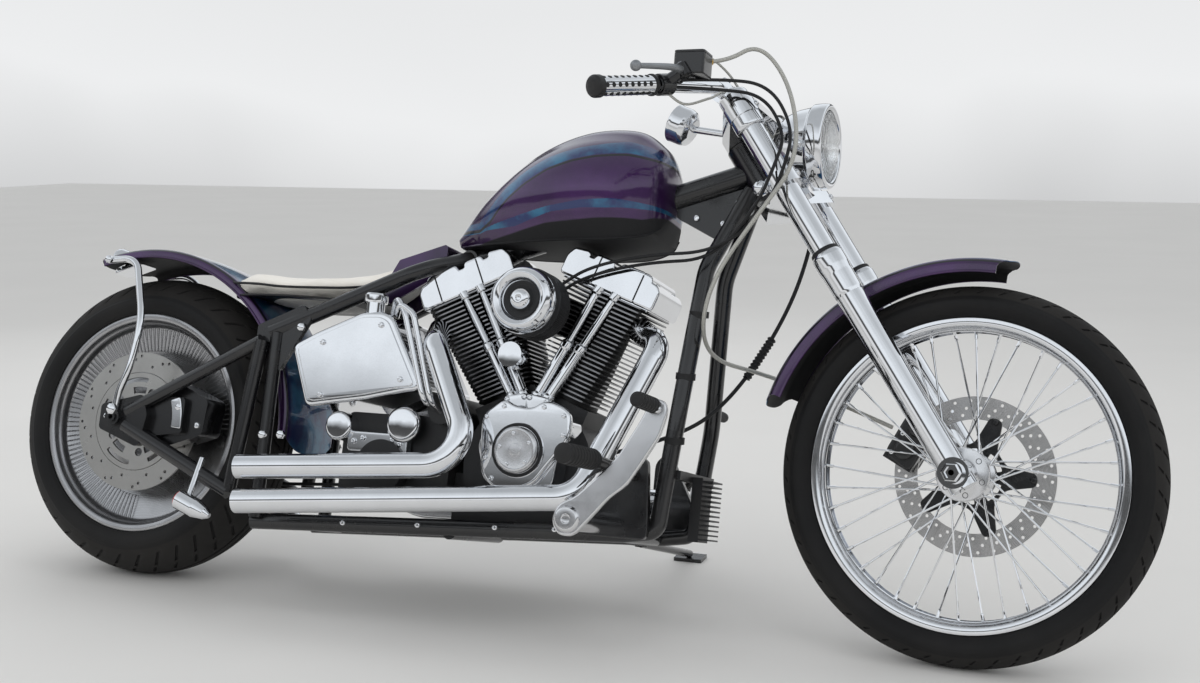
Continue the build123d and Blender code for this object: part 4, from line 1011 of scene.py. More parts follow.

# %% [markdown]
# ## Front hub
# The hub is one turned casting: a barrel, two flanges that carry the spokes, and a seat for the
# disc. Bolt holes sit on its right face, where some hubs carry a second disc; each is a shallow
# cup painted black, a painted shade for the dark inside of a deep hole.

# %% Hub
hub = eased([(-79, 10.2), (-79, 24), (-60, 27), (-56, 47), (-51, 48), (-38, 44), (-36, 36), (-30, 44),
             (-26, 30), (0, 26), (26, 30), (30, 44), (36, 44), (40, 36), (50, 36), (50, 10.2)], 3, 4)
hub_shape = Shape().lathe(np.vstack([hub, hub[:1]]), FRONT_AXLE, n=64)
hub_shape.lathe([(-62, 26), (-60, 30), (-58.5, 46), (-56, 47)], FRONT_AXLE, n=64)
hub_shape.piece("front_hub", "front_wheel", POLISHED, True)
# Painted shade: shallow black cups stand in for the dark inside of the bolt holes
pits = Shape()
for at in on_ring(FRONT_AXLE, 37, 6, 42):
    pits.lathe([(-58.2, 5.2), (-60.2, 5.2), (-60.2, 4.2), (-57.5, 3.8), (-57.5, 0)], at, n=16)
pits.piece("front_hub_bolt_holes", "front_wheel", FRAME_BLACK, True)

# %% [markdown]
# ## Brake discs
# A disc is a flat ring with rows of small holes, fixed to a slotted carrier. Both are plates cut
# with holes: a flat curve with inner loops is filled and extruded. Holes could be cut by a
# Boolean, which leaves worse faces. Their edges are hardly broken.


# %% A disc
def ring_holes(radius, count, size, start=0.0):
    """Round holes at equal angles on a circle."""
    angle = np.radians(start + 360 / count * np.arange(count))
    return [circle(radius * math.cos(a), radius * math.sin(a), size, 10) for a in angle]


def disc(name, centre, y, thick, loops, finish, body, turned, replaces=(), bolts=(), side=1):
    """A plate across the axle with rows of bolts (radius, count, size, start) on one side."""
    shape = Shape().plate(loops, thick, centre + y * SIDE, edge=0.1, steps=0)
    for radius, count, size, start in bolts:
        for at in on_ring(centre, radius, count, start, y + side * thick / 2):
            shape.bolt(at, side * SIDE, size)
    return shape.piece(name, body, finish, turned, replaces)


DISC_OUTER, DISC_INNER = 146, 104
RING = [circle(0, 0, DISC_OUTER, 96), circle(0, 0, DISC_INNER, 96)]
print("a disc ring is", DISC_OUTER - DISC_INNER, "mm wide")

# %% [markdown]
# ## Front disc
# The ring is drilled in three rows, each turned a little from the last. A black carrier, waved
# like a star with five arms, holds it to a bright boss on the hub.

# %% Front ring, carrier and boss
front_rows = ring_holes(138, 30, 3.2) + ring_holes(125, 30, 3.2, 4) + ring_holes(113, 30, 3.2, 8)
disc("front_disc_ring", FRONT_AXLE, 64.5, 5, RING + front_rows, FRONT_STEEL, "front_wheel", True,
     "front_brake_disc")
spider = [(radius * math.cos(math.radians(a + 72 * i)), radius * math.sin(math.radians(a + 72 * i)))
          for i in range(5) for radius, a in ((112, -6), (112, 6), (62, 20), (58, 36), (62, 52))]
star = [eased(spider, 9, 4, True), circle(0, 0, 30, 40)]
star += [arc_slot(46, 5, 14 + 72 * i, 58 + 72 * i) for i in range(5)]
disc("front_disc_carrier", FRONT_AXLE, 64, 6.4, star, FRAME_BLACK, "front_wheel", True, (),
     [(106, 5, 6.5, 0)], -1)
boss = [circle(0, 0, 40, 48), circle(0, 0, 16, 32)]
disc("front_disc_hub", FRONT_AXLE, 60, 14, boss, POLISHED, "front_wheel", True, (), [(31, 5, 6, 36)])

# %% [markdown]
# ## Rear disc
# The rear ring has fewer holes, and its carrier is a plain steel plate with kidney slots. Both
# lie nearly in one plane, so only a thin dark line shows between them.

# %% Rear ring and carrier
rear_rows = ring_holes(138, 12, 3.4, 4) + ring_holes(131, 12, 3.4, 10) + ring_holes(117, 12, 3.4, 20)
disc("rear_disc_ring", REAR_AXLE, -82.5, 5, RING + rear_rows, REAR_STEEL, "rear_wheel", False,
     "rear_brake_disc")
slotted = [circle(0, 0, 102.5, 80), circle(0, 0, 26, 40)]
slotted += [arc_slot(88, 5, 8 + 72 * i, 50 + 72 * i) for i in range(5)] + ring_holes(66, 5, 9, 66)
slotted += [arc_slot(66, 7, 6 + 72 * i, 34 + 72 * i) for i in range(5)]
disc("rear_disc_carrier", REAR_AXLE, -82.6, 6.4, slotted, REAR_STEEL, "rear_wheel", False, (),
     [(42, 5, 6.5, 30)], -1)

# %% [markdown]
# ## Solid rear wheel
# The rear wheel is turned from one casting: a bright rolled lip, a smooth dish and a thick hub.
# It is one profile on the lathe, and its mirror image closes it on the other side.

# %% Wheel
dish = eased([(79, 10.2), (79, 56), (70, 62), (58, 66), (42, 92), (36, 122), (37, 148), (47, 206),
              (60, 208), (66, 214), (76.5, 217), (77.5, 226), (76, 231), (72, 231), (68, 218)], 7, 5)
casting = Shape().lathe(np.vstack([dish, dish[::-1] * (-1, 1)]), REAR_AXLE, n=144, wrap_u=True)
casting.piece("rear_wheel_casting", "rear_wheel", WHEEL_METAL, False, "rear_wheel_disc")

# %% [markdown]
# ## Fins of the rear wheel
# Low fins stand square to the dish between hub and lip, three degrees apart, ninety on each side,
# so they fill three quarters of the turn and the last quarter is smooth. Each is a little roof
# of three lines, low at its two sides and 1.6 mm higher along its middle.

# %% Fins
fins = Shape()
FIN_SECTION = np.array([(154, 38.2), (204, 46.6), (204, 49.4), (200, 50.0), (158, 44.5), (154, 41)])
radius, out = FIN_SECTION.T
width = np.array([[-0.008], [0.0], [0.008]]) * np.array([1.0, 0.72, 0.72, 0.6, 0.6, 1.0]) * 0.9
ridge = np.array([[0.0], [1.6], [0.0]]) * [0, 0, 1, 1, 1, 1]
for side in (1, -1):
    for start in np.radians(np.arange(0, 270, 3)):
        angle = start + width
        block = [radius * np.cos(angle), side * (out + ridge), radius * np.sin(angle)]
        fins.grid(np.stack(block, -1) + REAR_AXLE)
fins.piece("rear_wheel_fins", "rear_wheel", WHEEL_METAL, closed=False, sharp=60)

# %% [markdown]
# ## Belt drive
# On the left a toothed belt runs from the gearbox to a pulley on the wheel. The pulley has short
# square teeth and round windows, so its rim is a plate with a toothed outline.

# %% Rear pulley
TEETH, TOOTH = 60, [109.5, 109.5, 112, 112]
turn = np.arange(4 * TEETH) * 2 * np.pi / (4 * TEETH)
outline = np.tile(TOOTH, TEETH)[:, None] * np.stack([np.cos(turn), np.sin(turn)], 1)
pulley = Shape().plate([outline, circle(0, 0, 40, 40)] + ring_holes(78, 6, 17), 21,
                       REAR_AXLE + 111 * SIDE, edge=0.5)
pulley.lathe([(98.5, 108), (98.5, 114.5), (100.6, 114.5), (100.6, 108)], REAR_AXLE, n=80, wrap_u=True)
pulley.lathe([(121.4, 108), (121.4, 114.5), (123, 114.5), (123, 108)], REAR_AXLE, n=80, wrap_u=True)
pulley.lathe([(79, 10.2), (79, 55), (101, 55), (101, 46), (118, 40), (118, 10.2)], REAR_AXLE, n=64)
for at in on_ring(REAR_AXLE, 50, 6, 30, 122):
    pulley.bolt(at, SIDE, 7)
pulley.piece("rear_pulley", "rear_wheel", CASTING)

# %% [markdown]
# ## Painted sheet metal
# Fenders are rolled from sheet: an arched section carried round the wheel, with rounded tips
# and a wire rolled into the edge. A Solidify modifier would thicken the sheet too, but here the
# inner side has to be known point by point, because it gets painted shade, a matt near-black,
# while the outside is striped.


# %% Thick sheet
def sheet(shape, points, thick):
    """Thickens a (rows, columns, 3) surface: an inner copy lies back along the cross product of
    its two directions, and narrow faces close the four edges."""
    inner = points + thick * unit(np.cross(np.gradient(points, axis=1), np.gradient(points, axis=0)))
    loop = np.concatenate([points, inner[:, ::-1]], axis=1)
    base, (rows, columns) = shape.count, loop.shape[:2]
    shape.grid(loop, wrap_v=True)
    for at in (base, base + (rows - 1) * columns):
        shape.others += [[at + j, at + j + 1, at + columns - 2 - j, at + columns - 1 - j]
                         for j in range(columns // 2 - 1)]
    return shape


print("sheet can be thickened")

# %% [markdown]
# ## Fender shape
# Seen from behind, a fender has upright edges, round shoulders and an almost flat crown. That
# section is turned about the axle, and its ends are pulled back at the edges, so the tips are
# round. The paint's numbers are distances from the middle line.


# %% Fender
def fender(name, centre, half, crown, edge, start, arc, tip, body, turned, band_half, extras=None):
    """Section: upright edge, rounded shoulder, and a crown whose radius falls with the square of
    y. It is turned from the start angle down through the arc, less a tip that grows with |y|^3."""
    rise, shoulder = 0.35 * (crown - edge), 0.62 * (crown - edge)
    arch = np.linspace(-1, 1, 17)
    flank = np.array([(half, edge), (half, crown - shoulder), (half - 0.12 * shoulder,
                                                               crown - 0.7 * shoulder), (half
                                                                                         - 0.4 * shoulder,
                                                                                         crown
                                                                                         - 0.42 * shoulder),
                      (half - 0.7 * shoulder, crown - 0.3 * shoulder)])
    top = np.stack([arch * (half - shoulder), crown - 0.5 * rise * arch**2], 1)
    profile = np.vstack([flank * (-1, 1), top, flank[::-1]])
    y, r = profile.T
    pull = tip * (abs(y) / half)**3
    u = np.linspace(0, 1, 72)[:, None]
    angle = np.radians(start - pull - u * (arc - 2 * pull))
    points = np.stack([r * np.cos(angle), np.broadcast_to(y, angle.shape), r * np.sin(angle)], -1) + centre
    shape = sheet(Shape(), points, 3.0)
    for column in (0, -1):
        shape.tube(points[:, column], 2.6, 8)
    if extras:
        extras(shape)
    y = abs(np.concatenate(shape.points)[:, 1])
    across, along = 2 * len(profile), len(u)
    # The inner side of the sheet gets under = 9: painted shade, matt near-black, for the fender's dark
    # underside
    under = np.full(len(y), -9.0)
    under[:across * along].reshape(along, across)[:, len(profile):] = 9
    return shape.piece(name, body, CANDY, turned, name[:-6], 30,
                       fields={"band": y / band_half, "low_band": y / band_half,
                               "pin": (y - band_half - 5) / 1.8, "under": under})


def lugs(shape):
    """Two round spacers between the rear fender and the frame."""
    for side in (1, -1):
        shape.lathe([(0, 0), (0, 8), (37, 8), (37, 0)], (338, side * 95, 456), side * SIDE, 16)


def brackets(shape):
    """Two plates between the front fender and the fork legs."""
    for side in (1, -1):
        shape.plate([rounded_box(15, 16, 3, 3)], 5, fork(50, side * 77, 368), FORK_AHEAD, SIDE)


fender("rear_fender_sheet", REAR_AXLE, 98, 372, 350, 116, 122, 5, "chassis", False, 89, lugs)
fender("front_fender_sheet", FRONT_AXLE, 62, 391, 360, 165, 85, 4, "steering", True, 53, brackets)

# %% [markdown]
# ## Tank
# A teardrop tank is two pressings welded along a lower seam. Its sections are half-eggs: flat
# foot, flared flank, full side and round crown. Smooth curves run through the sections from the
# pointed tail to the blunt nose. Two blue bands sweep back along each side and meet at the tail.


# %% Half-egg sections
def egg(x, foot, waist, low, middle, top):
    """Half a section: foot, flank, then two parabolas a + t(4m - 3a - b) + t^2(2a + 2b - 4m), each
    through its ends a and b and its middle m."""
    shoulder = np.array([0.45 * waist, top - 0.18 * (top - middle)])
    t = np.linspace(0, 1, 9)[1:, None]
    side_middle = (0.86 * waist, (middle + shoulder[1]) / 2 + 0.06 * (top - middle))
    crown_middle = (0.25 * waist, top - 0.055 * (top - middle))
    arcs = []
    for a, m, b in (((waist, middle), side_middle, shoulder), (shoulder, crown_middle, (0, top))):
        a, m, b = map(np.asarray, (a, m, b))
        arcs.append(a + t * (4 * m - 3 * a - b) + t**2 * (2 * a + 2 * b - 4 * m))
    lower = np.array([(0, low), (0.5 * foot, low), (foot, low + 1),
                      (foot + 0.12 * (waist - foot), low + 0.08 * (middle - low)),
                      (foot + 0.6 * (waist - foot), low + 0.5 * (middle - low)), (waist, middle)])
    half = np.vstack([lower, *arcs])
    ring = np.vstack([half, half[-2:0:-1] * (-1, 1)])
    return np.column_stack([np.full(len(ring), x), ring])


print("a section has", len(egg(930, 110, 142, 728, 815, 968)), "points")

# %% [markdown]
# ## From sections to a tank
# Eleven sections stand along the tank, each five numbers at one place: half width at the foot and
# at the waist, and the heights of foot, waist and top. A smooth curve runs through each point of
# the sections. Sculpting could make the same form, but numbers keep both sides alike.

# %% Tank
ROWS = [(664, 1, 2, 736, 738, 740), (669, 12, 22, 727, 738, 749), (680, 24, 38, 723, 740, 758),
        (740, 62, 84, 722, 770, 842), (830, 96, 124, 724, 800, 924), (930, 110, 142, 728, 815, 968),
        (1030, 108, 140, 734, 820, 972), (1085, 84, 110, 746, 832, 940), (1106, 62, 82, 764, 836, 912),
        (1116, 34, 44, 796, 838, 880), (1119, 2, 3, 836, 838, 840)]
net = np.array([egg(*row) for row in ROWS])
tank = Shape().grid(lofted(net, 110), wrap_v=True, caps=True)
for side in (1, -1):
    seam = smooth_line([(x, side * (foot + 1), low + 2) for x, foot, _, low, _, _ in ROWS[2:9]], 60)
    tank.tube(seam, 2.4, 8)
print("tank points:", tank.count)

# %% [markdown]
# ## Stripes of the tank
# The stripes are drawn in side view as lines of (forward, up). A point's number is its height
# above the middle of the band, in half widths, so one is the band's edge. Below another line the
# underside is painted matt near-black, a painted shade.

# %% Stripes and filler cap
x, y, z = np.concatenate(tank.points).T
UPPER = [(735, 764), (763, 795), (785, 824), (825, 860), (877, 895), (927, 912), (972, 920), (1034, 932),
         (1075, 926), (1119, 905)]
UNDER = [(735, 752), (763, 767), (805, 810), (841, 839), (887, 868), (934, 885), (981, 895), (1044, 901),
         (1119, 896)]
LOWER = [(735, 750), (775, 761), (839, 776), (903, 792), (965, 803), (1028, 807), (1119, 803)]
FOOT = [(735, 744), (753, 749), (826, 754), (904, 780), (967, 788), (1017, 789), (1119, 796)]
bands = []
for over, under in ((UPPER, UNDER), (LOWER, FOOT)):
    high, low = (np.interp(x, *np.array(line, float).T) for line in (over, under))
    bands.append((z - (high + low) / 2) / np.maximum((high - low) / 2, 1.5))
    if over is UPPER:
        pin = (z - low + 3.5) / 2.6
# Painted shade: below this line the tank turns matt near-black, standing in for its dark underside
PAINTED_SHADE_EDGE = [(735, 724), (743, 727), (811, 740), (893, 760), (1000, 771), (1081, 775), (1119, 790)]
under = (np.interp(x, *np.array(PAINTED_SHADE_EDGE, float).T) - z) / 1.5
tank.piece("fuel_tank_shell", "chassis", CANDY, False, "fuel_tank", 40,
           fields={"band": bands[0], "low_band": bands[1], "pin": pin, "under": under})
cap = Shape().lathe([(-4, 27), (2, 27), (4, 25.5), (4.5, 20), (4, 6), (5, 5), (5, 0)], (960, 52, 962),
                    unit((0.05, 0.42, 1)), 48)
cap.piece("fuel_cap", "chassis", CHROME)

# %% [markdown]
# ## Engine covers
# The rocker boxes are cast in three parts along the bike, with dark joints between them, and
# their tops step up and down like a castle wall. Every edge is rounded, so each shows a thin
# highlight. Cap screws hold them down. They could be cut from blocks by Booleans, but a side
# outline, extruded with a round edge, is what the casting really is.

# %% Rocker boxes
PARTS = [[(-99, 374), (-99, 408), (-91, 423), (-64, 427), (-60, 417), (-46, 417), (-42, 427), (-34.2, 427),
          (-34.2, 374)], [(-32.4, 374), (-32.4, 427), (-10, 427), (-6, 417), (10, 417), (14, 429),
                          (59.0, 430), (59.0, 374)], [(60.8, 374), (60.8, 430), (74, 428), (78, 418),
                                                      (91, 416), (99, 406), (99, 374)]]
for end, tilt in TILTS.items():
    across, left, up = cylinder_lines(tilt)
    flip = 1 if end == "front" else -1
    boxes = Shape()
    for outline in PARTS:
        boxes.plate([eased(np.array(outline) * (flip, 1), 4, 4, True)], 158, CRANK, across, up,
                    edge=4.5, steps=3)
    boxes.plate([[(-92, 366), (92, 366), (92, 376), (-92, 376)]], 148, CRANK, across, up, edge=1)
    for a, along in ((-53, 417), (2, 417), (84, 418)):
        for side in (-1, 1):
            boxes.bolt(engine_at(tilt, flip * a, side * 52, along), up, 7)
    boxes.piece("rocker_" + end, "chassis", CHROME, False, "rocker_box_" + end)
    gaskets = Shape()
    for a in (-33.3, 59.9):
        left_edge, right_edge = flip * a - 1.3, flip * a + 1.3
        strip = [(left_edge, 376), (right_edge, 376), (right_edge, 427.5), (left_edge, 427.5)]
        gaskets.plate([strip], 158.8, CRANK, across, up, edge=0.3, steps=0)
    gaskets.piece("rocker_gaskets_" + end, "chassis", RUBBER)

# %% [markdown]
# ## Pushrod tubes
# Four bright tubes run from the lifter blocks up to the rocker boxes. Each has a fat lower tube
# that slides over a thinner one, a spring cap where they meet, and a collar at both ends.

# %% Pushrods and lifter blocks
rods = Shape()
for tilt in TILTS.values():
    for across in (-14, 24):
        foot = engine_at(0.45 * tilt, 0.6 * across, -90, 134)
        top = engine_at(tilt, across, -72, 374)
        length, way = np.linalg.norm(top - foot), unit(top - foot)
        profile = [(0, 0), (0, 13), (9, 13), (12, 10.5), (0.44 * length, 10.5), (0.45 * length, 12.5),
                   (0.50 * length, 12.5), (0.52 * length, 8), (length - 16, 8), (length - 14, 11.5),
                   (length - 4, 12), (length, 12)]
        rods.lathe(eased(profile, 1.5, 3), foot, way, 20)
    for reach in (-16, 20):
        rods.bolt(engine_at(0.45 * tilt, reach, -103, 132), -SIDE, 6)
    block = [(-21, 96), (25, 96), (25, 136), (-21, 136)]
    across, left, up = cylinder_lines(0.45 * tilt)
    rods.plate([eased(block, 8, 4, True)], 34, CRANK - 87 * SIDE, across, up, edge=4, steps=2)
rods.piece("pushrods", "chassis", CHROME, False, "pushrod_tubes")

# %% [markdown]
# ## Cam cover
# A chromed casting with a thick rounded rim follows the gears behind it. The round cap at its
# middle is turned, so it has fine rings, and five screws hold it.

# %% Cam cover and timer cap
TIMER_AT = np.array([897.0, 0.0, 318.0])
cover = [(821, 377), (859, 407), (880, 396), (917, 392), (945, 411), (988, 395), (992, 349), (972, 322),
         (948, 290), (930, 262), (900, 250), (862, 246), (838, 262), (824, 300)]
base = [(808, 332), (845, 384), (951, 388), (988, 384), (988, 344), (968, 320), (960, 252),
        (895, 230), (824, 262)]
cam = Shape().plate([eased(cover, 16, 6, True)], 18, (0, -142, 0), edge=6, steps=4)
cam.plate([eased(base, 16, 5, True)], 62, (0, -103, 0), edge=3)
cam.lathe(eased([(0, 52), (3, 52), (6, 48), (7, 0)], 1, 3), TIMER_AT - 150 * SIDE, -SIDE, 64)
for x, z in ((826, 377), (860, 399), (941, 402), (982, 388), (984, 352), (848, 262), (832, 300)):
    cam.bolt((x, -151, z), -SIDE, 5)
cam.piece("cam_case", "chassis", CHROME, False, "cam_cover")
TIMER = machined("chrome", (0.72, 0.72, 0.73), 0.20, placed(TIMER_AT), AXLE_LINE, 0.0016, "turned_cap")
timer = Shape().lathe(eased([(0, 44), (9, 44), (13, 41), (14, 37), (12.5, 36), (12.5, 12), (13.5, 11),
                             (13.5, 0)], 1, 4), TIMER_AT - 155 * SIDE, -SIDE, 72)
timer.piece("timer_cap", "chassis", TIMER)
screws = Shape()
for at in on_ring(TIMER_AT, 31, 5, 100, -167):
    screws.bolt(at, -SIDE, 4.2)
screws.piece("timer_cap_screws", "chassis", CHROME)
# Painted shade: a black rubber ring round the foot of the cap stands in for the dark recess there
recess_shade = Shape().lathe(eased([(5, 44.6), (8.5, 45), (8.5, 50.5), (5, 51)], 1, 3), TIMER_AT - 150 * SIDE,
                       -SIDE, 64, True)
recess_shade.piece("timer_recess_shade", "chassis", RUBBER)

# %% [markdown]
# ## Air cleaner
# A ribbed black drum carries a wide bright ring. Inside the ring the dish falls away, and a
# small domed cap with a hole stands at its middle.

# %% Air cleaner
AIR = np.array([903.0, 0.0, 592.0])
RIB = ((0, 66), (2.6, 66), (3.2, 58), (5.6, 58))
drum = [(140, 0), (140, 60)] + [(142 + 6 * i + d, r) for i in range(9) for d, r in RIB]
drum_shape = Shape().lathe(drum + [(197, 58), (197, 40), (197, 0)], AIR, -SIDE, 72)
drum_shape.piece("air_cleaner_drum", "chassis", ENGINE_BLACK, False, "air_cleaner", sharp=40)
face = eased([(190, 0), (190, 56), (200, 62), (216, 64), (230, 60), (239, 53), (240.5, 49), (236, 41),
              (226, 36), (222, 30), (221, 0)], 5, 6)
Shape().lathe(face, AIR, -SIDE, 96).piece("air_cleaner_ring", "chassis", CHROME)
dish = Shape().lathe(eased([(221, 34), (226, 35.5), (226.5, 33), (222.5, 22), (222, 0)], 1,
                           3), AIR, -SIDE, 64)
dish.lathe([(224 + d, r) for d, r in ((0, 29), (0.8, 29), (0.8, 27.4), (0, 27.4))], AIR, -SIDE, 48)
dish.piece("air_cleaner_dish", "chassis", ENGINE_BLACK)
button = eased([(221, 21), (229, 21), (234, 19), (239, 15), (241, 10), (241, 5), (238, 4.4),
                (238, 0)], 2, 4)
Shape().lathe(button, AIR, -SIDE, 48).piece("air_cleaner_cap", "chassis", CHROME)

# %% [markdown]
# ## Primary case
# The long case on the left covers the chain from crank to clutch. It is a polished oval casting
# with a domed clutch cover, an inspection plug and a row of screws along its rim. The photo
# doesn't show this side, so its sizes are those of a usual machine.


# %% Primary case
def oval(first, first_r, second, second_r, n=96):
    """Outline round two circles: in each direction, the point of whichever reaches further."""
    angle = np.linspace(0, 2 * np.pi, n, endpoint=False)[:, None]
    ahead = np.hstack([np.cos(angle), np.sin(angle)])
    ends = np.array([first, second], float)
    reach = ahead @ ends.T + (first_r, second_r)
    pick = reach.argmax(1)
    return ends[pick] + np.array([first_r, second_r])[pick, None] * ahead


CLUTCH_AT = np.array([588.0, 0.0, 306.0])
primary = Shape().plate([oval((885, 290), 104, (588, 306), 126)], 42, (0, 147, 0), edge=3)
primary.plate([oval((885, 290), 98, (588, 306), 120)], 30, (0, 171, 0), edge=12, steps=6)
primary.lathe(eased([(0, 66), (4, 66), (8, 60), (11, 40), (13, 0)], 3, 4), CLUTCH_AT + 181 * SIDE, SIDE, 72)
primary.lathe(eased([(0, 52), (3, 52), (6, 47), (6, 0)], 2, 4), CRANK + 183 * SIDE, SIDE, 64)
for at in oval((885, 290), 92, (588, 306), 114, 26)[::2]:
    primary.bolt((at[0], 181, at[1]), SIDE, 5)
for at in on_ring(CLUTCH_AT, 55, 5, 18, 187):
    primary.bolt(at, SIDE, 4.5)
primary.piece("primary_case", "chassis", POLISHED, False, "primary_cover")

# %% [markdown]
# ## Fittings under the oil tank
# Two round chromed caps and a bar show below the oil tank, and a small ribbed cap sits between
# the cylinders. What they cover is hidden, so plain turned forms do.

# %% Fittings
small = Shape()
small.lathe(eased([(0, 0), (0, 31), (8, 36), (14, 36), (20, 30), (22, 0)], 3, 4),
            (640, -112, 352), -SIDE, 48)
small.lathe(eased([(0, 29), (34, 29), (38, 25), (39, 0)], 3, 4), (502, -96, 340), -SIDE, 48)
small.plate([eased([(523, 296), (648, 296), (648, 330), (523, 330)], 6, 4, True)], 22, (0, -110, 0), edge=3)
small.lathe([(0, 24), (6, 26), (12, 24), (18, 26), (24, 24), (30, 26), (36, 24), (38, 0)],
            (853, -100, 500), -SIDE, 40)
for x, z in ((535, 313), (636, 313), (555, 320), (619, 320)):
    small.bolt((x, -121, z), -SIDE, 6)
small.piece("engine_fittings", "chassis", CHROME)

# %% [markdown]
# ## Oil tank
# The polished oil tank fills the corner under the seat: a folded box with a raised rim round
# its outer face and a filler neck with a domed cap.

# %% Oil tank and filler
panel = [(399, 487), (446, 514), (543, 558), (583, 560), (602, 552), (676, 424), (645, 419), (562, 399),
         (490, 387), (441, 378)]
oil = Shape().plate([eased(panel, 10, 5, True)], 246, (0, -32, 0), edge=7, steps=4)
rim = eased(panel, 10, 5, True)
middle = rim.mean(0)
oil.plate([middle + (rim - middle) * 0.94], 4, (0, -156, 0), edge=1.8, steps=3)
oil.lathe([(0, 19), (46, 19), (46, 23), (50, 24), (60, 24), (64, 21), (66, 12), (66.5, 0)],
          (556, -134, 540), (0, 0, 1), 40)
oil.piece("oil_tank_shell", "chassis", CHROME, False, "oil_tank", sharp=28)

# %% [markdown]
# ## Bolts of tank and frame
# Bright bolts on black tubes are what the eye reads as real size. Four hold the oil tank, domed
# nuts sit on the plates of the rear frame, and a row runs along the lower rails. Each is the same
# little lathe profile at another place.

# %% Bolts
oil_bolts = Shape()
for x, z in ((462, 500), (586, 540), (640, 436), (470, 396)):
    oil_bolts.bolt((x, -159, z), -SIDE, 6)
for x, z in ((403, 529), (321, 478), (348, 309), (389, 312)):
    for side in (1, -1):
        oil_bolts.nut((x, side * (146 if z > 400 else 152), z), side * SIDE, 9, 6)
for x in (540, 700, 860, 980):
    for side in (1, -1):
        oil_bolts.bolt((x, side * 135.5, 152 + 0.06 * (x - 540)), side * SIDE, 6)
oil_bolts.piece("frame_bolts", "chassis", CHROME)

# %% [markdown]
# ## Forward controls
# On the right a polished arm rises from its pivot to the brake pad, past a rubber peg. On the
# left a thin lever does the same for the gears. Both pivot on plates bolted to the frame.


# %% Ribbed rubber
def ribbed(start, end, radius, count=9):
    """A rubber peg: rings of ribs along a bar, with round ends."""
    length = np.linalg.norm(np.subtract(end, start))
    ribs = [(length * (0.08 + 0.8 * (i + d) / count), radius * r)
            for i in range(count) for d, r in ((0, 0.9), (0.15, 1), (0.6, 1), (0.75, 0.9))]
    profile = [(0, 0), (0, 0.7 * radius), (3, 0.9 * radius), *ribs, (length - 4, 0.95 * radius),
               (length, 0.6 * radius), (length, 0)]
    return Shape().lathe(profile, start, unit(np.subtract(end, start)), 28)


print("pegs can be ribbed")

# %% [markdown]
# ## Control mounts and pegs
# Both mounts are thick plates bolted to the front of the frame, and a bar runs out from each to
# its peg. Together they are one piece, which stands for two CAD nodes.

# %% Mounts and pegs
plates = Shape()
right_plate = [(1030, 176), (1030, 224), (1096, 320), (1150, 320), (1160, 210), (1160, 176)]
left_plate = [(1080, 176), (1080, 330), (1104, 352), (1160, 250), (1160, 176)]
plates.plate([eased(right_plate, 12, 4, True)], 18, (0, -141, 0), edge=2)
plates.plate([eased(left_plate, 12, 4, True)], 18, (0, 141, 0), edge=2)
plates.tube([(1132, -140, 288), (1098, -320, 306)], 11, 20)
plates.tube([(1100, 140, 306), (1092, 330, 306)], 11, 20)
plates.piece("control_mounts", "chassis", FRAME_BLACK, False, ("right_controls", "left_controls"))
ribbed((1102, -296, 304), (1082, -405, 306), 19).piece("peg_right", "chassis", RUBBER)
ribbed((1093, 290, 306), (1082, 405, 306), 19).piece("peg_left", "chassis", RUBBER)

# %% [markdown]
# ## Pedal and shift lever
# The brake pedal's arm is a flat polished casting with an eased outline, swept forward to its
# rubber pad. The shift lever on the left is a bent bar with a rubber toe piece.

# %% Pedal and lever
arm = [(1040, 195), (1050, 221), (1078, 234), (1112, 268), (1150, 310), (1184, 372), (1203, 414),
       (1222, 410), (1226, 392), (1216, 352), (1166, 266), (1136, 242), (1098, 196),
       (1078, 172), (1052, 172)]
pedal = Shape().plate([eased(arm, 14, 5, True)], 13, (0, -302, 0), edge=3.5, steps=3)
pivot = eased([(0, 20), (130, 20), (130, 24), (162, 24), (168, 20), (168, 8), (166, 7), (166, 0)], 2, 3)
pedal.lathe(pivot, (1066, -148, 198), -SIDE, 40)
pedal.bolt((1212, -308, 398), -SIDE, 7)
pedal.piece("brake_pedal", "chassis", POLISHED)
ribbed((1204, -300, 404), (1192, -372, 408), 14, 6).piece("brake_pad", "chassis", RUBBER)
shift = Shape().tube([(1120, 256, 236), (1130, 258, 300), (1150, 256, 400), (1158, 256, 446)], 8, 16)
shift.lathe([(0, 14), (112, 14), (118, 17), (126, 17), (128, 0)], (1120, 140, 236), SIDE, 32)
shift.lathe([(0, 0), (0, 9), (10, 9), (10, 0)], (1158, 246, 446), SIDE, 24)
shift.piece("shift_lever", "chassis", POLISHED)
ribbed((1158, 254, 446), (1158, 330, 446), 11, 6).piece("shift_toe", "chassis", RUBBER)

# %% [markdown]
# ## Rear brake
# The caliper is a black block with a bright kidney-shaped inset that follows the disc. The same
# slot that was a hole in the discs is an outline here.

# %% Rear brake inset
inset = Shape().plate([arc_slot(138, 9.5, -4, 20, 16)], 5, REAR_AXLE - 143.5 * SIDE, edge=2, steps=3)
inset.bolt((178, -128, 318), -SIDE, 7)
for x, z in ((-22, 323), (50, 332), (138, 352)):
    inset.nut((x, -141.2, z), -SIDE, 8, 5)
inset.piece("rear_caliper_inset", "chassis", CHROME)

# %% [markdown]
# ## Tail lamp and strut nuts
# The lamp is a short chromed can with a red lens, on a bracket that follows the fender. Its axis
# leans up a little, as the fender does there.

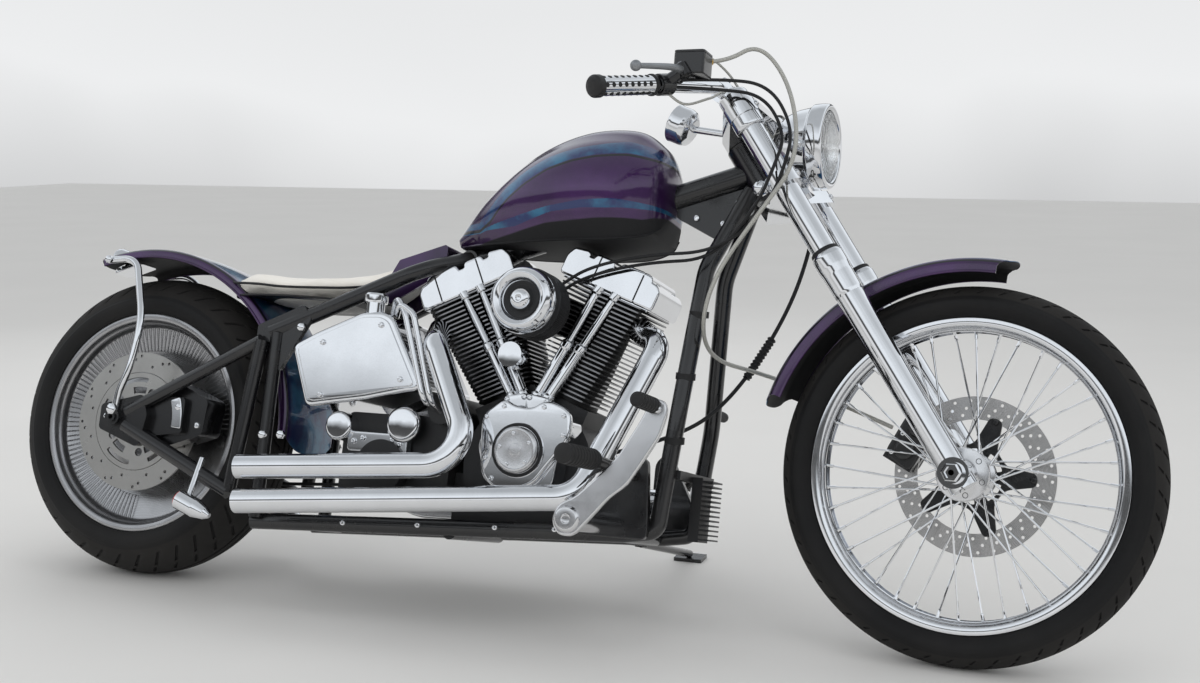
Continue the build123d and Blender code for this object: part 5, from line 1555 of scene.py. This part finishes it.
# %% Tail lamp and nuts
TAIL_AT, TAIL_AXIS = (-130, 0, 672), unit((-1, 0, 0.12))
tail = Shape().lathe(eased([(0, 0), (0, 22), (26, 27), (34, 27), (36, 24), (36, 0)], 3, 4),
                     TAIL_AT, TAIL_AXIS, 40)
tail.plate([rounded_box(34, 30, 8, 4)], 4, (-118, 0, 655), (1, 0, 0.36), SIDE, edge=1)
tail.piece("tail_lamp_shell", "chassis", CHROME)
lens = Shape().lathe(eased([(34, 23), (38, 22), (42, 14), (43, 0)], 3, 5), TAIL_AT, TAIL_AXIS, 40)
lens.piece("tail_lamp_lens", "chassis", RED_GLASS)
strut_nuts = Shape()
for side in (1, -1):
    strut_nuts.nut((-104, side * 112, 658), side * SIDE, 9, 6)
    strut_nuts.nut((1, side * 173, 336), side * SIDE, 12, 8)
    strut_nuts.bolt((-22, side * 159.5, 322), side * SIDE, 6)
strut_nuts.piece("strut_nuts", "chassis", CHROME)

# %% [markdown]
# ## Fork and yokes
# The fork legs are bright tubes in polished sliders. Cups close the upper yoke, a hexagon cap
# ends each tube, and the top of each slider swells where its seal sits. All of it is turned, so
# lathe profiles along the leg's own axis are the nearest to how it is made.

# %% Fork trim
LEG_AHEAD, LEG_OUT = 50, 118
trim = Shape()
for side in (1, -1):
    leg = fork(LEG_AHEAD, side * LEG_OUT, 0)
    trim.lathe(eased([(732, 23.2), (733, 28), (738, 29.5), (806, 29.5), (812, 27), (814, 20)], 2, 4),
               leg, FORK_UP, 48)
    trim.nut(fork(LEG_AHEAD, side * LEG_OUT, 812), FORK_UP, 17, 9)
    trim.lathe(eased([(366, 26.1), (372, 27.4), (410, 28.2), (424, 30), (446, 30), (452, 27.5), (456, 24)],
                     2, 4), leg, FORK_UP, 48)
    trim.lathe([(0, 11), (0, 17), (6, 17), (8, 15), (8, 11)], FRONT_AXLE + side * 162.5 * SIDE,
               side * SIDE, 6, True)
    trim.bolt(fork(LEG_AHEAD + 31, side * LEG_OUT, 614), FORK_AHEAD, 7)
    trim.bolt(fork(LEG_AHEAD + 31, side * LEG_OUT, 772), FORK_AHEAD, 7)
    for x in (16, 44):
        trim.bolt(fork(x, side * 34, 873), FORK_UP, 5.5)
        trim.bolt(fork(x, side * 56, 873), FORK_UP, 5.5)
trim.nut(fork(0, 0, 786), FORK_UP, 18, 12)
ball = [(-15 * math.cos(a), 15 * math.sin(a)) for a in np.linspace(0, math.pi, 14)]
for side in (-1, 1):
    trim.lathe(ball, fork(12, side * 138, 620), FORK_UP, 28)
trim.piece("fork_trim", "steering", CHROME, True)
seals = Shape()
for side in (1, -1):
    seals.lathe(eased([(450, 23.2), (450, 26.5), (460, 26), (462, 23.2)], 1, 3),
                fork(LEG_AHEAD, side * LEG_OUT, 0), FORK_UP, 40)
seals.piece("fork_seals", "steering", RUBBER, True)

# %% [markdown]
# ## Headlight
# The lamp's bucket is spun sheet with a rolled rim. Behind the fluted glass sit a bright bowl
# and its bulb, because a lens with nothing behind it looks like a button. One profile runs from
# the back of the bucket round the rim and down into the bowl.

# %% Lamp
LAMP = fork(141.4, 0, 662.9)
AHEAD = np.array([1.0, 0, 0])
bucket = [(-112, 0), (-112, 12), (-106, 26), (-95, 44), (-78, 59), (-56, 69), (-28, 75), (-25, 80),
          (-8, 81), (3, 80), (6, 76), (4, 68.5), (-2, 67.2), (-3, 62), (-14, 50), (-28, 34), (-38, 22),
          (-44, 8), (-44, 0)]
lamp_shell = Shape().lathe(eased(bucket, 4, 4), LAMP, AHEAD, 96)
lamp_shell.lathe([(64, 0), (64, 12), (84, 12), (84, 0)], LAMP - 46 * AHEAD, (0, 0, -1), 28)
for side in (1, -1):
    lamp_shell.nut(LAMP + (-40, side * 70, -10), side * SIDE, 8, 6)
lamp_shell.piece("headlight_bucket", "steering", CHROME, True, "headlight_shell", sharp=40)
glass = eased([(-2, 0), (-2, 66.8), (1, 66.8), (5, 58), (8, 42), (9.6, 20), (10, 0)], 3, 4)
glass_shape = Shape().lathe(glass, LAMP, AHEAD, 96)
glass_shape.piece("headlight_glass", "steering", GLASS, True, "headlight_lens", sharp=50)
bulb = Shape().lathe(eased([(-44, 9), (-30, 9), (-22, 8), (-16, 5), (-14, 0)], 2, 4), LAMP, AHEAD, 24)
bulb.piece("headlight_bulb", "steering", POLISHED, True)

# %% [markdown]
# ## Speedometer
# The little speedometer faces the rider: a bezel, a dark face with pale marks and a needle. Its
# marks are thin plates, since a visible shape comes from geometry, and they carry no figures.

# %% Gauge
GAUGE_AXIS = unit((-0.93, 0, 0.37))
GAUGE = fork(-74, -35, 852)
case = [(-25, 0), (-25, 22), (-18, 34), (-8, 37), (12, 37), (17, 38), (19, 36), (19, 33),
        (15, 31.5), (15, 0)]
gauge = Shape().lathe(eased(case, 2, 4), GAUGE, GAUGE_AXIS, 64)
gauge.tube([GAUGE - 16 * GAUGE_AXIS, fork(0, -35, 778)], 7, 20)
gauge.piece("speedometer_case", "steering", CHROME, True, "speedometer")
dial = Shape().lathe([(15.2, 31.4), (15.6, 31.4), (15.7, 0)], GAUGE, GAUGE_AXIS, 48)
dial.piece("speedometer_dial", "steering", PLASTIC, True)
MARKS = Finish("grey_casting", "dial_marks")
MARKS.set(Base_Color=MARKS.mix((0.72, 0.72, 0.68), (0.60, 0.60, 0.56), MARKS.noise(200, 2)), Roughness=0.5)
_, dial_side, dial_up = square_to(GAUGE_AXIS)
marks = Shape()
MARK_STEPS, SWEEP, FIRST = 24, 270, 225
for k in range(MARK_STEPS + 1):
    angle = math.radians(FIRST - SWEEP * k / MARK_STEPS)
    ray = math.cos(angle) * dial_side + math.sin(angle) * dial_up
    long = 6 if k % 4 == 0 else 3.2
    bar = [(-0.5, 0), (0.5, 0), (0.5, long), (-0.5, long)]
    foot = GAUGE + 15.9 * GAUGE_AXIS + (29.5 - long) * ray
    marks.plate([bar], 0.5, foot, np.cross(ray, GAUGE_AXIS), ray, edge=0.1, steps=0)
needle = math.cos(4.0) * dial_side + math.sin(4.0) * dial_up
marks.plate([[(-1.2, -6), (1.2, -6), (0.3, 23), (-0.3, 23)]], 0.6, GAUGE + 16.9 * GAUGE_AXIS,
            np.cross(needle, GAUGE_AXIS), needle, edge=0.1, steps=0)
marks.piece("speedometer_marks", "steering", MARKS, True)

# %% [markdown]
# ## Hand controls
# Each grip is a chromed sleeve with rows of rubber spots and a black end. A tapered lever with
# a ball at its tip pivots in a perch. On the right the perch carries the brake fluid's box, on
# the left a switch box. Each side is the other's mirror image, so one loop makes both from two
# points, the ends of the grip, and no mirrored copy has to have its faces turned back.

# %% Grips
GRIPS = [(side, fork(-36, side * 290, 843), fork(-99, side * 409, 847)) for side in (1, -1)]
spots, ends = Shape(), Shape()
for side, inner, outer in GRIPS:
    run = np.linalg.norm(outer - inner)
    way, ring_a, ring_b = square_to(outer - inner)
    for step in np.linspace(0.16, 0.94, 8):
        for k in range(6):
            out = math.cos(k * math.pi / 3) * ring_a + math.sin(k * math.pi / 3) * ring_b
            spots.lathe([(0, 4.6), (0.7, 4.2), (0.9, 0)], inner + step * run * way + 17.2 * out, out, 12)
    ends.lathe(eased([(-3, 20.2), (9, 20.4), (13, 17), (15, 8), (15, 0)], 3, 4), outer, way, 36)
    ends.lathe(eased([(2, 12.8), (2, 20), (7, 20), (7, 12.8)], 1, 3), inner, way, 36)
spots.piece("grip_spots", "steering", RUBBER, True)
ends.piece("grip_ends", "steering", PLASTIC, True)

# %% [markdown]
# ## Levers and boxes
# A lever is a tube whose radius falls along a smooth line from its pivot to its tip. Its perch is
# a clamp with an arm, and the box stands on the perch with a lid and two screws.

# %% Levers, perches and boxes
perches, levers, lids = Shape(), Shape(), Shape()
knob = [(-10 * math.cos(a), 10 * math.sin(a)) for a in np.linspace(0, math.pi, 12)]
outline = rounded_box(27, 23, 6, 4)
for side, inner, outer in GRIPS:
    way = unit(outer - inner)
    perch = inner - 26 * way
    pivot, tip = perch + 44 * FORK_AHEAD, outer + 62 * FORK_AHEAD - 22 * way
    perches.lathe(eased([(-16, 13), (-16, 20), (16, 20), (16, 13)], 3, 4), perch, way, 36)
    perches.tube([perch, pivot + 6 * FORK_AHEAD], [13, 11], 20)
    perches.lathe([(-12, 0), (-12, 12), (12, 12), (12, 0)], pivot, FORK_UP, 24)
    bow = smooth_line([pivot, pivot + 0.35 * (tip - pivot) + 6 * FORK_AHEAD, tip], 30)
    levers.tube(bow, np.linspace(7.5, 4.8, 30), 14)
    levers.lathe(knob, tip, way, 24)
    box = perch + 38 * FORK_AHEAD - 30 * way + (0, 0, 12)
    tall = 40 if side < 0 else 34
    perches.plate([outline], tall, box, (1, 0, 0), (0, 1, 0), edge=2.5)
    lids.plate([outline * 1.03], 5, box + (0, 0, tall / 2 + 1.5), (1, 0, 0), (0, 1, 0), edge=1.5)
    for x in (-19, 19):
        lids.bolt(box + (x, 0, tall / 2 + 3.5), (0, 0, 1), 4.5)
    levers.nut(pivot + 12 * FORK_UP, FORK_UP, 7, 5)
perches.piece("lever_perches", "steering", FRAME_BLACK, True)
levers.piece("hand_levers", "steering", CASTING, True, ("brake_lever", "clutch_lever"))
lids.piece("reservoir_lids", "steering", FRAME_BLACK, True)

# %% [markdown]
# ## Front brake
# The caliper grips the disc behind the left fork leg. Both its halves show round piston bosses
# and the pins of its pads. Its plates are laid on the direction out from the axle, so
# they follow the disc's edge.

# %% Front caliper bosses
CALIPER_TURN, CALIPER_OUT = math.radians(152), 128
out = np.array([math.cos(CALIPER_TURN), 0, math.sin(CALIPER_TURN)])
along = np.array([-math.sin(CALIPER_TURN), 0, math.cos(CALIPER_TURN)])
caliper_at = FRONT_AXLE + CALIPER_OUT * out
half = eased([(-52, -26), (52, -26), (46, 26), (-46, 26)], 12, 5, True)
piston = eased([(0, 19), (6, 19), (9, 15), (9, 0)], 2, 3)
boss = Shape()
for y in (92, 40):
    boss.plate([half], 12, caliper_at + y * SIDE, along, out, edge=4, steps=3)
for reach in (-24, 24):
    for y, side in ((96, 1), (36, -1)):
        boss.lathe(piston, caliper_at + reach * along + y * SIDE, side * SIDE, 32)
boss.piece("front_caliper_bosses", "steering", FRAME_BLACK, True)
pins = Shape()
for reach in (-40, 0, 40):
    pins.bolt(caliper_at + reach * along + 20 * out + 98 * SIDE, SIDE, 5)
    pins.bolt(caliper_at + reach * along + 18 * out + 34 * SIDE, -SIDE, 5)
pins.bolt(fork(50, 147, 120), SIDE, 9)
pins.piece("front_caliper_pins", "steering", CHROME, True)

# %% [markdown]
# ## Lenses of the bullet lamps
# Two bullet lamps hang by the rear wheel. Each lens is a shallow red dome at the lamp's blunt end,
# square to the axis that the bullet points along.

# %% Bullet lenses
BULLET_TURN = math.radians(110)
bullet = unit((math.sin(BULLET_TURN), 0, math.cos(BULLET_TURN)))
lenses = Shape()
for side in (1, -1):
    lenses.lathe([(-0.5, 18.5), (3, 17.5), (7, 12), (8.5, 0)], (196, side * 184, 166), -bullet, 32)
lenses.piece("bullet_lenses", "chassis", RED_GLASS)

# %% [markdown]
# ## Neck and small hardware
# Plates weld the neck to the backbone. They have a bright ring where a bolt passes and two small
# bolts behind it. The stand's pivot shows its nut, and rubber clips sit round the frame's front
# tube.

# %% Neck hardware and clips
neck = Shape()
for side in (1, -1):
    neck.lathe(eased([(-30, 9), (8, 9), (8, 15), (12, 15), (12, 7), (8, 6), (8, 0)], 1, 3),
               (1252, side * 8, 826), side * SIDE, 32)
    neck.bolt((1215, side * 8, 790), side * SIDE, 7)
    neck.bolt((1160, side * 8, 800), side * SIDE, 7)
neck.nut((1046, 174, 190), (0, 0, 1), 10, 6)
neck.piece("neck_hardware", "chassis", CHROME)
clips = Shape()
for x, z in ((1205, 600), (1196, 480), (1190, 360)):
    at = (x, -np.interp(z, (400, 690), (120, 70)), z)
    clips.lathe([(-6, 16.2), (-6, 18.5), (6, 18.5), (6, 16.2)], at, (0.05, -0.17, 1), 24)
clips.piece("tube_clips", "chassis", RUBBER)

# %% [markdown]
# ## Cables
# Cables and hoses are springy, so each is one smooth curve that passes near the points of its
# route: a quadratic B-spline with its ends clamped. A cable that crosses from the frame to the
# turning fork rides on no body, so it doesn't bend with the steering. A simulated rope would hang
# the same way at rest, and wouldn't follow the bars either.


# %% A cable
def cable(name, routes, radius, finish, start, end, replaces=()):
    """Tubes of one radius along routes. The start and end go to settled as a pair, which leaves the
    cable on no body, so it doesn't follow the steering."""
    curve = bpy.data.curves.new(name, "CURVE")
    curve.dimensions, curve.use_fill_caps = "3D", True
    curve.bevel_depth, curve.bevel_resolution = radius / 1000, 3
    for route in routes:
        spline = curve.splines.new("NURBS")
        spline.points.add(len(route) - 1)
        spline.points.foreach_set("co", np.column_stack([placed(route), np.ones(len(route))]).ravel())
        spline.order_u, spline.use_endpoint_u, spline.resolution_u = 3, True, 10
    mesh = meshed(curve)
    mesh.polygons.foreach_set("use_smooth", np.ones(len(mesh.polygons), bool))
    settled(name, mesh, (start, end), finish, replaces)


print("cables can be laid")

# %% [markdown]
# ## The brake hose
# The hose loops up from the brake lever, runs down beside the fork, crosses ahead of the frame's
# tubes and ends at the caliper on the other side. It leaves the fork and comes back to it, so it
# is made in two runs that meet at a still point on the frame.

# %% Brake hose
HOSE = [(1206, -232, 1040), (1246, -206, 1046), (1300, -172, 1096), (1364, -158, 1014), (1388, -162, 880),
        (1328, -180, 776), (1252, -172, 660), (1228, -150, 566), (1228, -50, 520), (1288, 76, 516),
        (1410, 92, 482), (1552, 78, 428)]
TURN = (1228, -100, 543)
cable("brake_hose_upper", [HOSE[:8] + [TURN]], 4, BRAID, (1240, -130, 600),
      (1290, -190, 1000), "brake_hose")
cable("brake_hose_lower", [[TURN] + HOSE[8:]], 4, BRAID, (1240, -40, 520), (1500, 80, 450))

# %% [markdown]
# ## Clutch and throttle cables
# The clutch cable runs down the left side to the gears, with a ribbed rubber boot over its
# adjuster. The boot is a tube whose radius rises and falls with a sine. Two throttle cables run
# side by side to the carburettor.

# %% Clutch and throttle cables
CLUTCH_BEND = ((1240, 70, 458), (1310, 190, 1040))
CLUTCH = [(1230, 234, 1046), (1310, 190, 1064), (1360, 166, 960), (1356, 160, 800), (1320, 140, 640),
          (1240, 70, 458), (1150, 20, 372), (1012, 6, 330)]
cable("clutch_line", [CLUTCH], 4, RUBBER, *CLUTCH_BEND, "clutch_cable")
top, foot = np.array(CLUTCH[4], float), np.array(CLUTCH[5], float)
BOOT_RINGS, RIB_EVERY = 61, 5
boot_line = np.linspace(top + 0.28 * (foot - top), top + 0.74 * (foot - top), BOOT_RINGS)
swelling = 8 + 1.3 * np.sin(np.arange(BOOT_RINGS) * 2 * np.pi / RIB_EVERY)
boot = Shape().grid(carried(boot_line, swelling, 16), wrap_v=True, caps=True)
boot.piece("clutch_boot", CLUTCH_BEND, RUBBER, sharp=60)
OPENS = [(1166, -262, 996), (1240, -200, 1018), (1316, -138, 1026), (1366, -134, 946), (1364, -164, 866),
         (1334, -166, 782), (1240, -126, 712), (1100, -106, 706), (985, -104, 680), (925, -100, 640),
         (905, -100, 624)]
CLOSES = [(1166, -262, 984), (1236, -196, 1000), (1304, -126, 1010), (1350, -122, 936), (1346, -174, 862),
          (1318, -174, 784), (1230, -112, 700), (1100, -94, 694), (990, -92, 668), (935, -90, 640),
          (915, -88, 620)]
cable("throttle_lines", [OPENS, CLOSES], 3.2, RUBBER, (1240, -126, 700), (1310, -138, 1000),
      "throttle_cables")

# %% [markdown]
# ## Wires and a fitting
# Thin braided wires run from the switches to the headlight. They turn with the bars as one piece,
# so they are plain tubes. A brass fitting joins the brake hose to its lever.

# %% Wires and fitting
SWITCH_RIGHT = [(-30, -262, 838), (-14, -240, 800), (22, -180, 806), (44, -96, 828),
                (52, -30, 770), (60, -14, 720)]
SWITCH_LEFT = [(-30, 262, 838), (-14, 240, 804), (22, 180, 808), (44, 96, 826),
               (52, 30, 770), (60, 14, 720)]
BRAKE_LIGHT = [(20, -236, 866), (52, -190, 884), (66, -120, 850), (60, -60, 780), (62, -20, 735)]
wires = Shape()
for points in (SWITCH_RIGHT, SWITCH_LEFT, BRAKE_LIGHT):
    wires.tube(smooth_line([fork(*p) for p in points], 60), 2.4, 10)
wires.piece("handlebar_wires", "steering", BRAID, True)
fitting = Shape()
hose_way = unit(np.subtract(HOSE[1], HOSE[0]))
fitting.lathe(eased([(0, 0), (0, 8), (8, 8), (9, 6.5), (24, 6.5), (26, 5), (26, 0)], 1, 3),
              HOSE[0], hose_way, 6)
fitting.piece("hose_fitting", "steering", BRASS)

# %% [markdown]
# ## Seat
# A thin solo saddle is foam under smooth white leather. The cushion is blown up like a cloth bag
# from a slightly smaller closed form, so its sides pull in naturally, and a cap on each point's
# travel keeps its shape. Sculpting would take longer and wouldn't look filled.

# %% Cushion
SADDLE = [(184, 30, 622, 636), (190, 70, 612, 642), (206, 98, 604, 644), (236, 118, 599, 644),
          (280, 128, 597, 642), (328, 131, 594, 638), (372, 129, 594, 638), (420, 118, 596, 642),
          (465, 100, 599, 649), (510, 78, 606, 662), (548, 58, 622, 678), (574, 42, 640, 688),
          (586, 22, 652, 688)]
AROUND, SQUARENESS, SMALLER_SIDE, SMALLER_TOP = 48, 2.7, 4, 3


def section(x, half, foot, top):
    """A superellipse, a rounded box whose sine and cosine are raised to a power below one, made
    smaller than the seat by what the filling adds."""
    t = np.linspace(0, 2 * np.pi, AROUND, endpoint=False)
    y, z = (np.sign(wave) * abs(wave)**(2 / SQUARENESS) for wave in (np.cos(t), np.sin(t)))
    height = (foot + top) / 2 + ((top - foot) / 2 - SMALLER_TOP) * z
    return np.column_stack([np.full(AROUND, x), (half - SMALLER_SIDE) * y, height])


net = np.array([section(*row) for row in SADDLE])
body = Shape().grid(lofted(net, 60), wrap_v=True, caps=True)
saddle = body.piece("saddle", "chassis", LEATHER, False, "seat", sharp=80)

# %% [markdown] ## Filling the seat Cloth needs faces of one size, so the form is first rebuilt
# from small cubes. Then it is blown up for twenty frames with gravity off.


# %% Filling
def even(made, size):
    """Rebuilds a closed mesh from even faces of one size."""
    remesh = made.modifiers.new("even", "REMESH")
    remesh.mode, remesh.voxel_size, remesh.use_smooth_shade = "VOXEL", size, True
    mesh = bpy.data.meshes.new_from_object(made.evaluated_get(bpy.context.evaluated_depsgraph_get()))
    made.modifiers.remove(remesh)
    mesh.materials.clear()
    mesh.materials.append(LEATHER.material)
    made.data = mesh


def blown(made, pressure, cap, steps=20):
    """Inflates a closed mesh as cloth and moves each point by at most the cap."""
    scene = bpy.context.scene
    cloth = made.modifiers.new("cloth", "CLOTH")
    cloth.settings.use_pressure, cloth.settings.uniform_pressure_force = True, pressure
    cloth.settings.effector_weights.gravity = 0
    cloth.point_cache.frame_end = steps
    flat = np.zeros(len(made.data.vertices) * 3)
    made.data.vertices.foreach_get("co", flat)
    for step in range(1, steps + 1):
        scene.frame_set(step)
    moved = np.zeros_like(flat)
    made.evaluated_get(bpy.context.evaluated_depsgraph_get()).data.vertices.foreach_get("co", moved)
    made.modifiers.remove(cloth)
    scene.frame_set(1)
    travel = (moved - flat).reshape(-1, 3)
    length = np.linalg.norm(travel, axis=1, keepdims=True)
    travel *= np.minimum(1, cap / np.maximum(length, 1e-9))
    made.data.vertices.foreach_set("co", flat + travel.ravel())
    made.data.update()
    furthest, mean = 1000 * float(length.max()), 1000 * float(length.mean())
    print("blown up by", round(furthest, 1), "mm at most before the cap, mean", round(mean, 1))


even(saddle, 0.0055)
blown(saddle, 4.0, 0.007)
smooth = saddle.modifiers.new("smooth", "SUBSURF")
smooth.levels = smooth.render_levels = 1

# %% [markdown]
# ## Piping and pan
# Black piping is sewn round the edge, a tube along the seat's side. Under the cushion a thin
# plastic pan, 10 mm narrower on each side, carries it.

# %% Piping and pan
piping = [(x, side * (half + 1.5), 0.58 * z0 + 0.42 * z1) for side,
          rows in ((1, SADDLE[1:-1]), (-1, SADDLE[-2:0:-1])) for x, half, z0, z1 in rows]
line = smooth_line(piping + piping[:1], 220)
Shape().grid(carried(line, 2.6, 8), wrap_v=True, caps=True).piece("saddle_piping", "chassis", RUBBER)
left_edge = [(x, half - 10) for x, half, _, _ in SADDLE[1:-2]]
right_edge = [(x, 10 - half) for x, half, _, _ in SADDLE[-3:0:-1]]
pan = Shape().plate([eased(left_edge + right_edge, 8, 3, True)], 4, (0, 0, 596), (1, 0, 0),
                    (0, 1, 0), edge=1)
pan.piece("saddle_pan", "chassis", PLASTIC)

# %% [markdown]
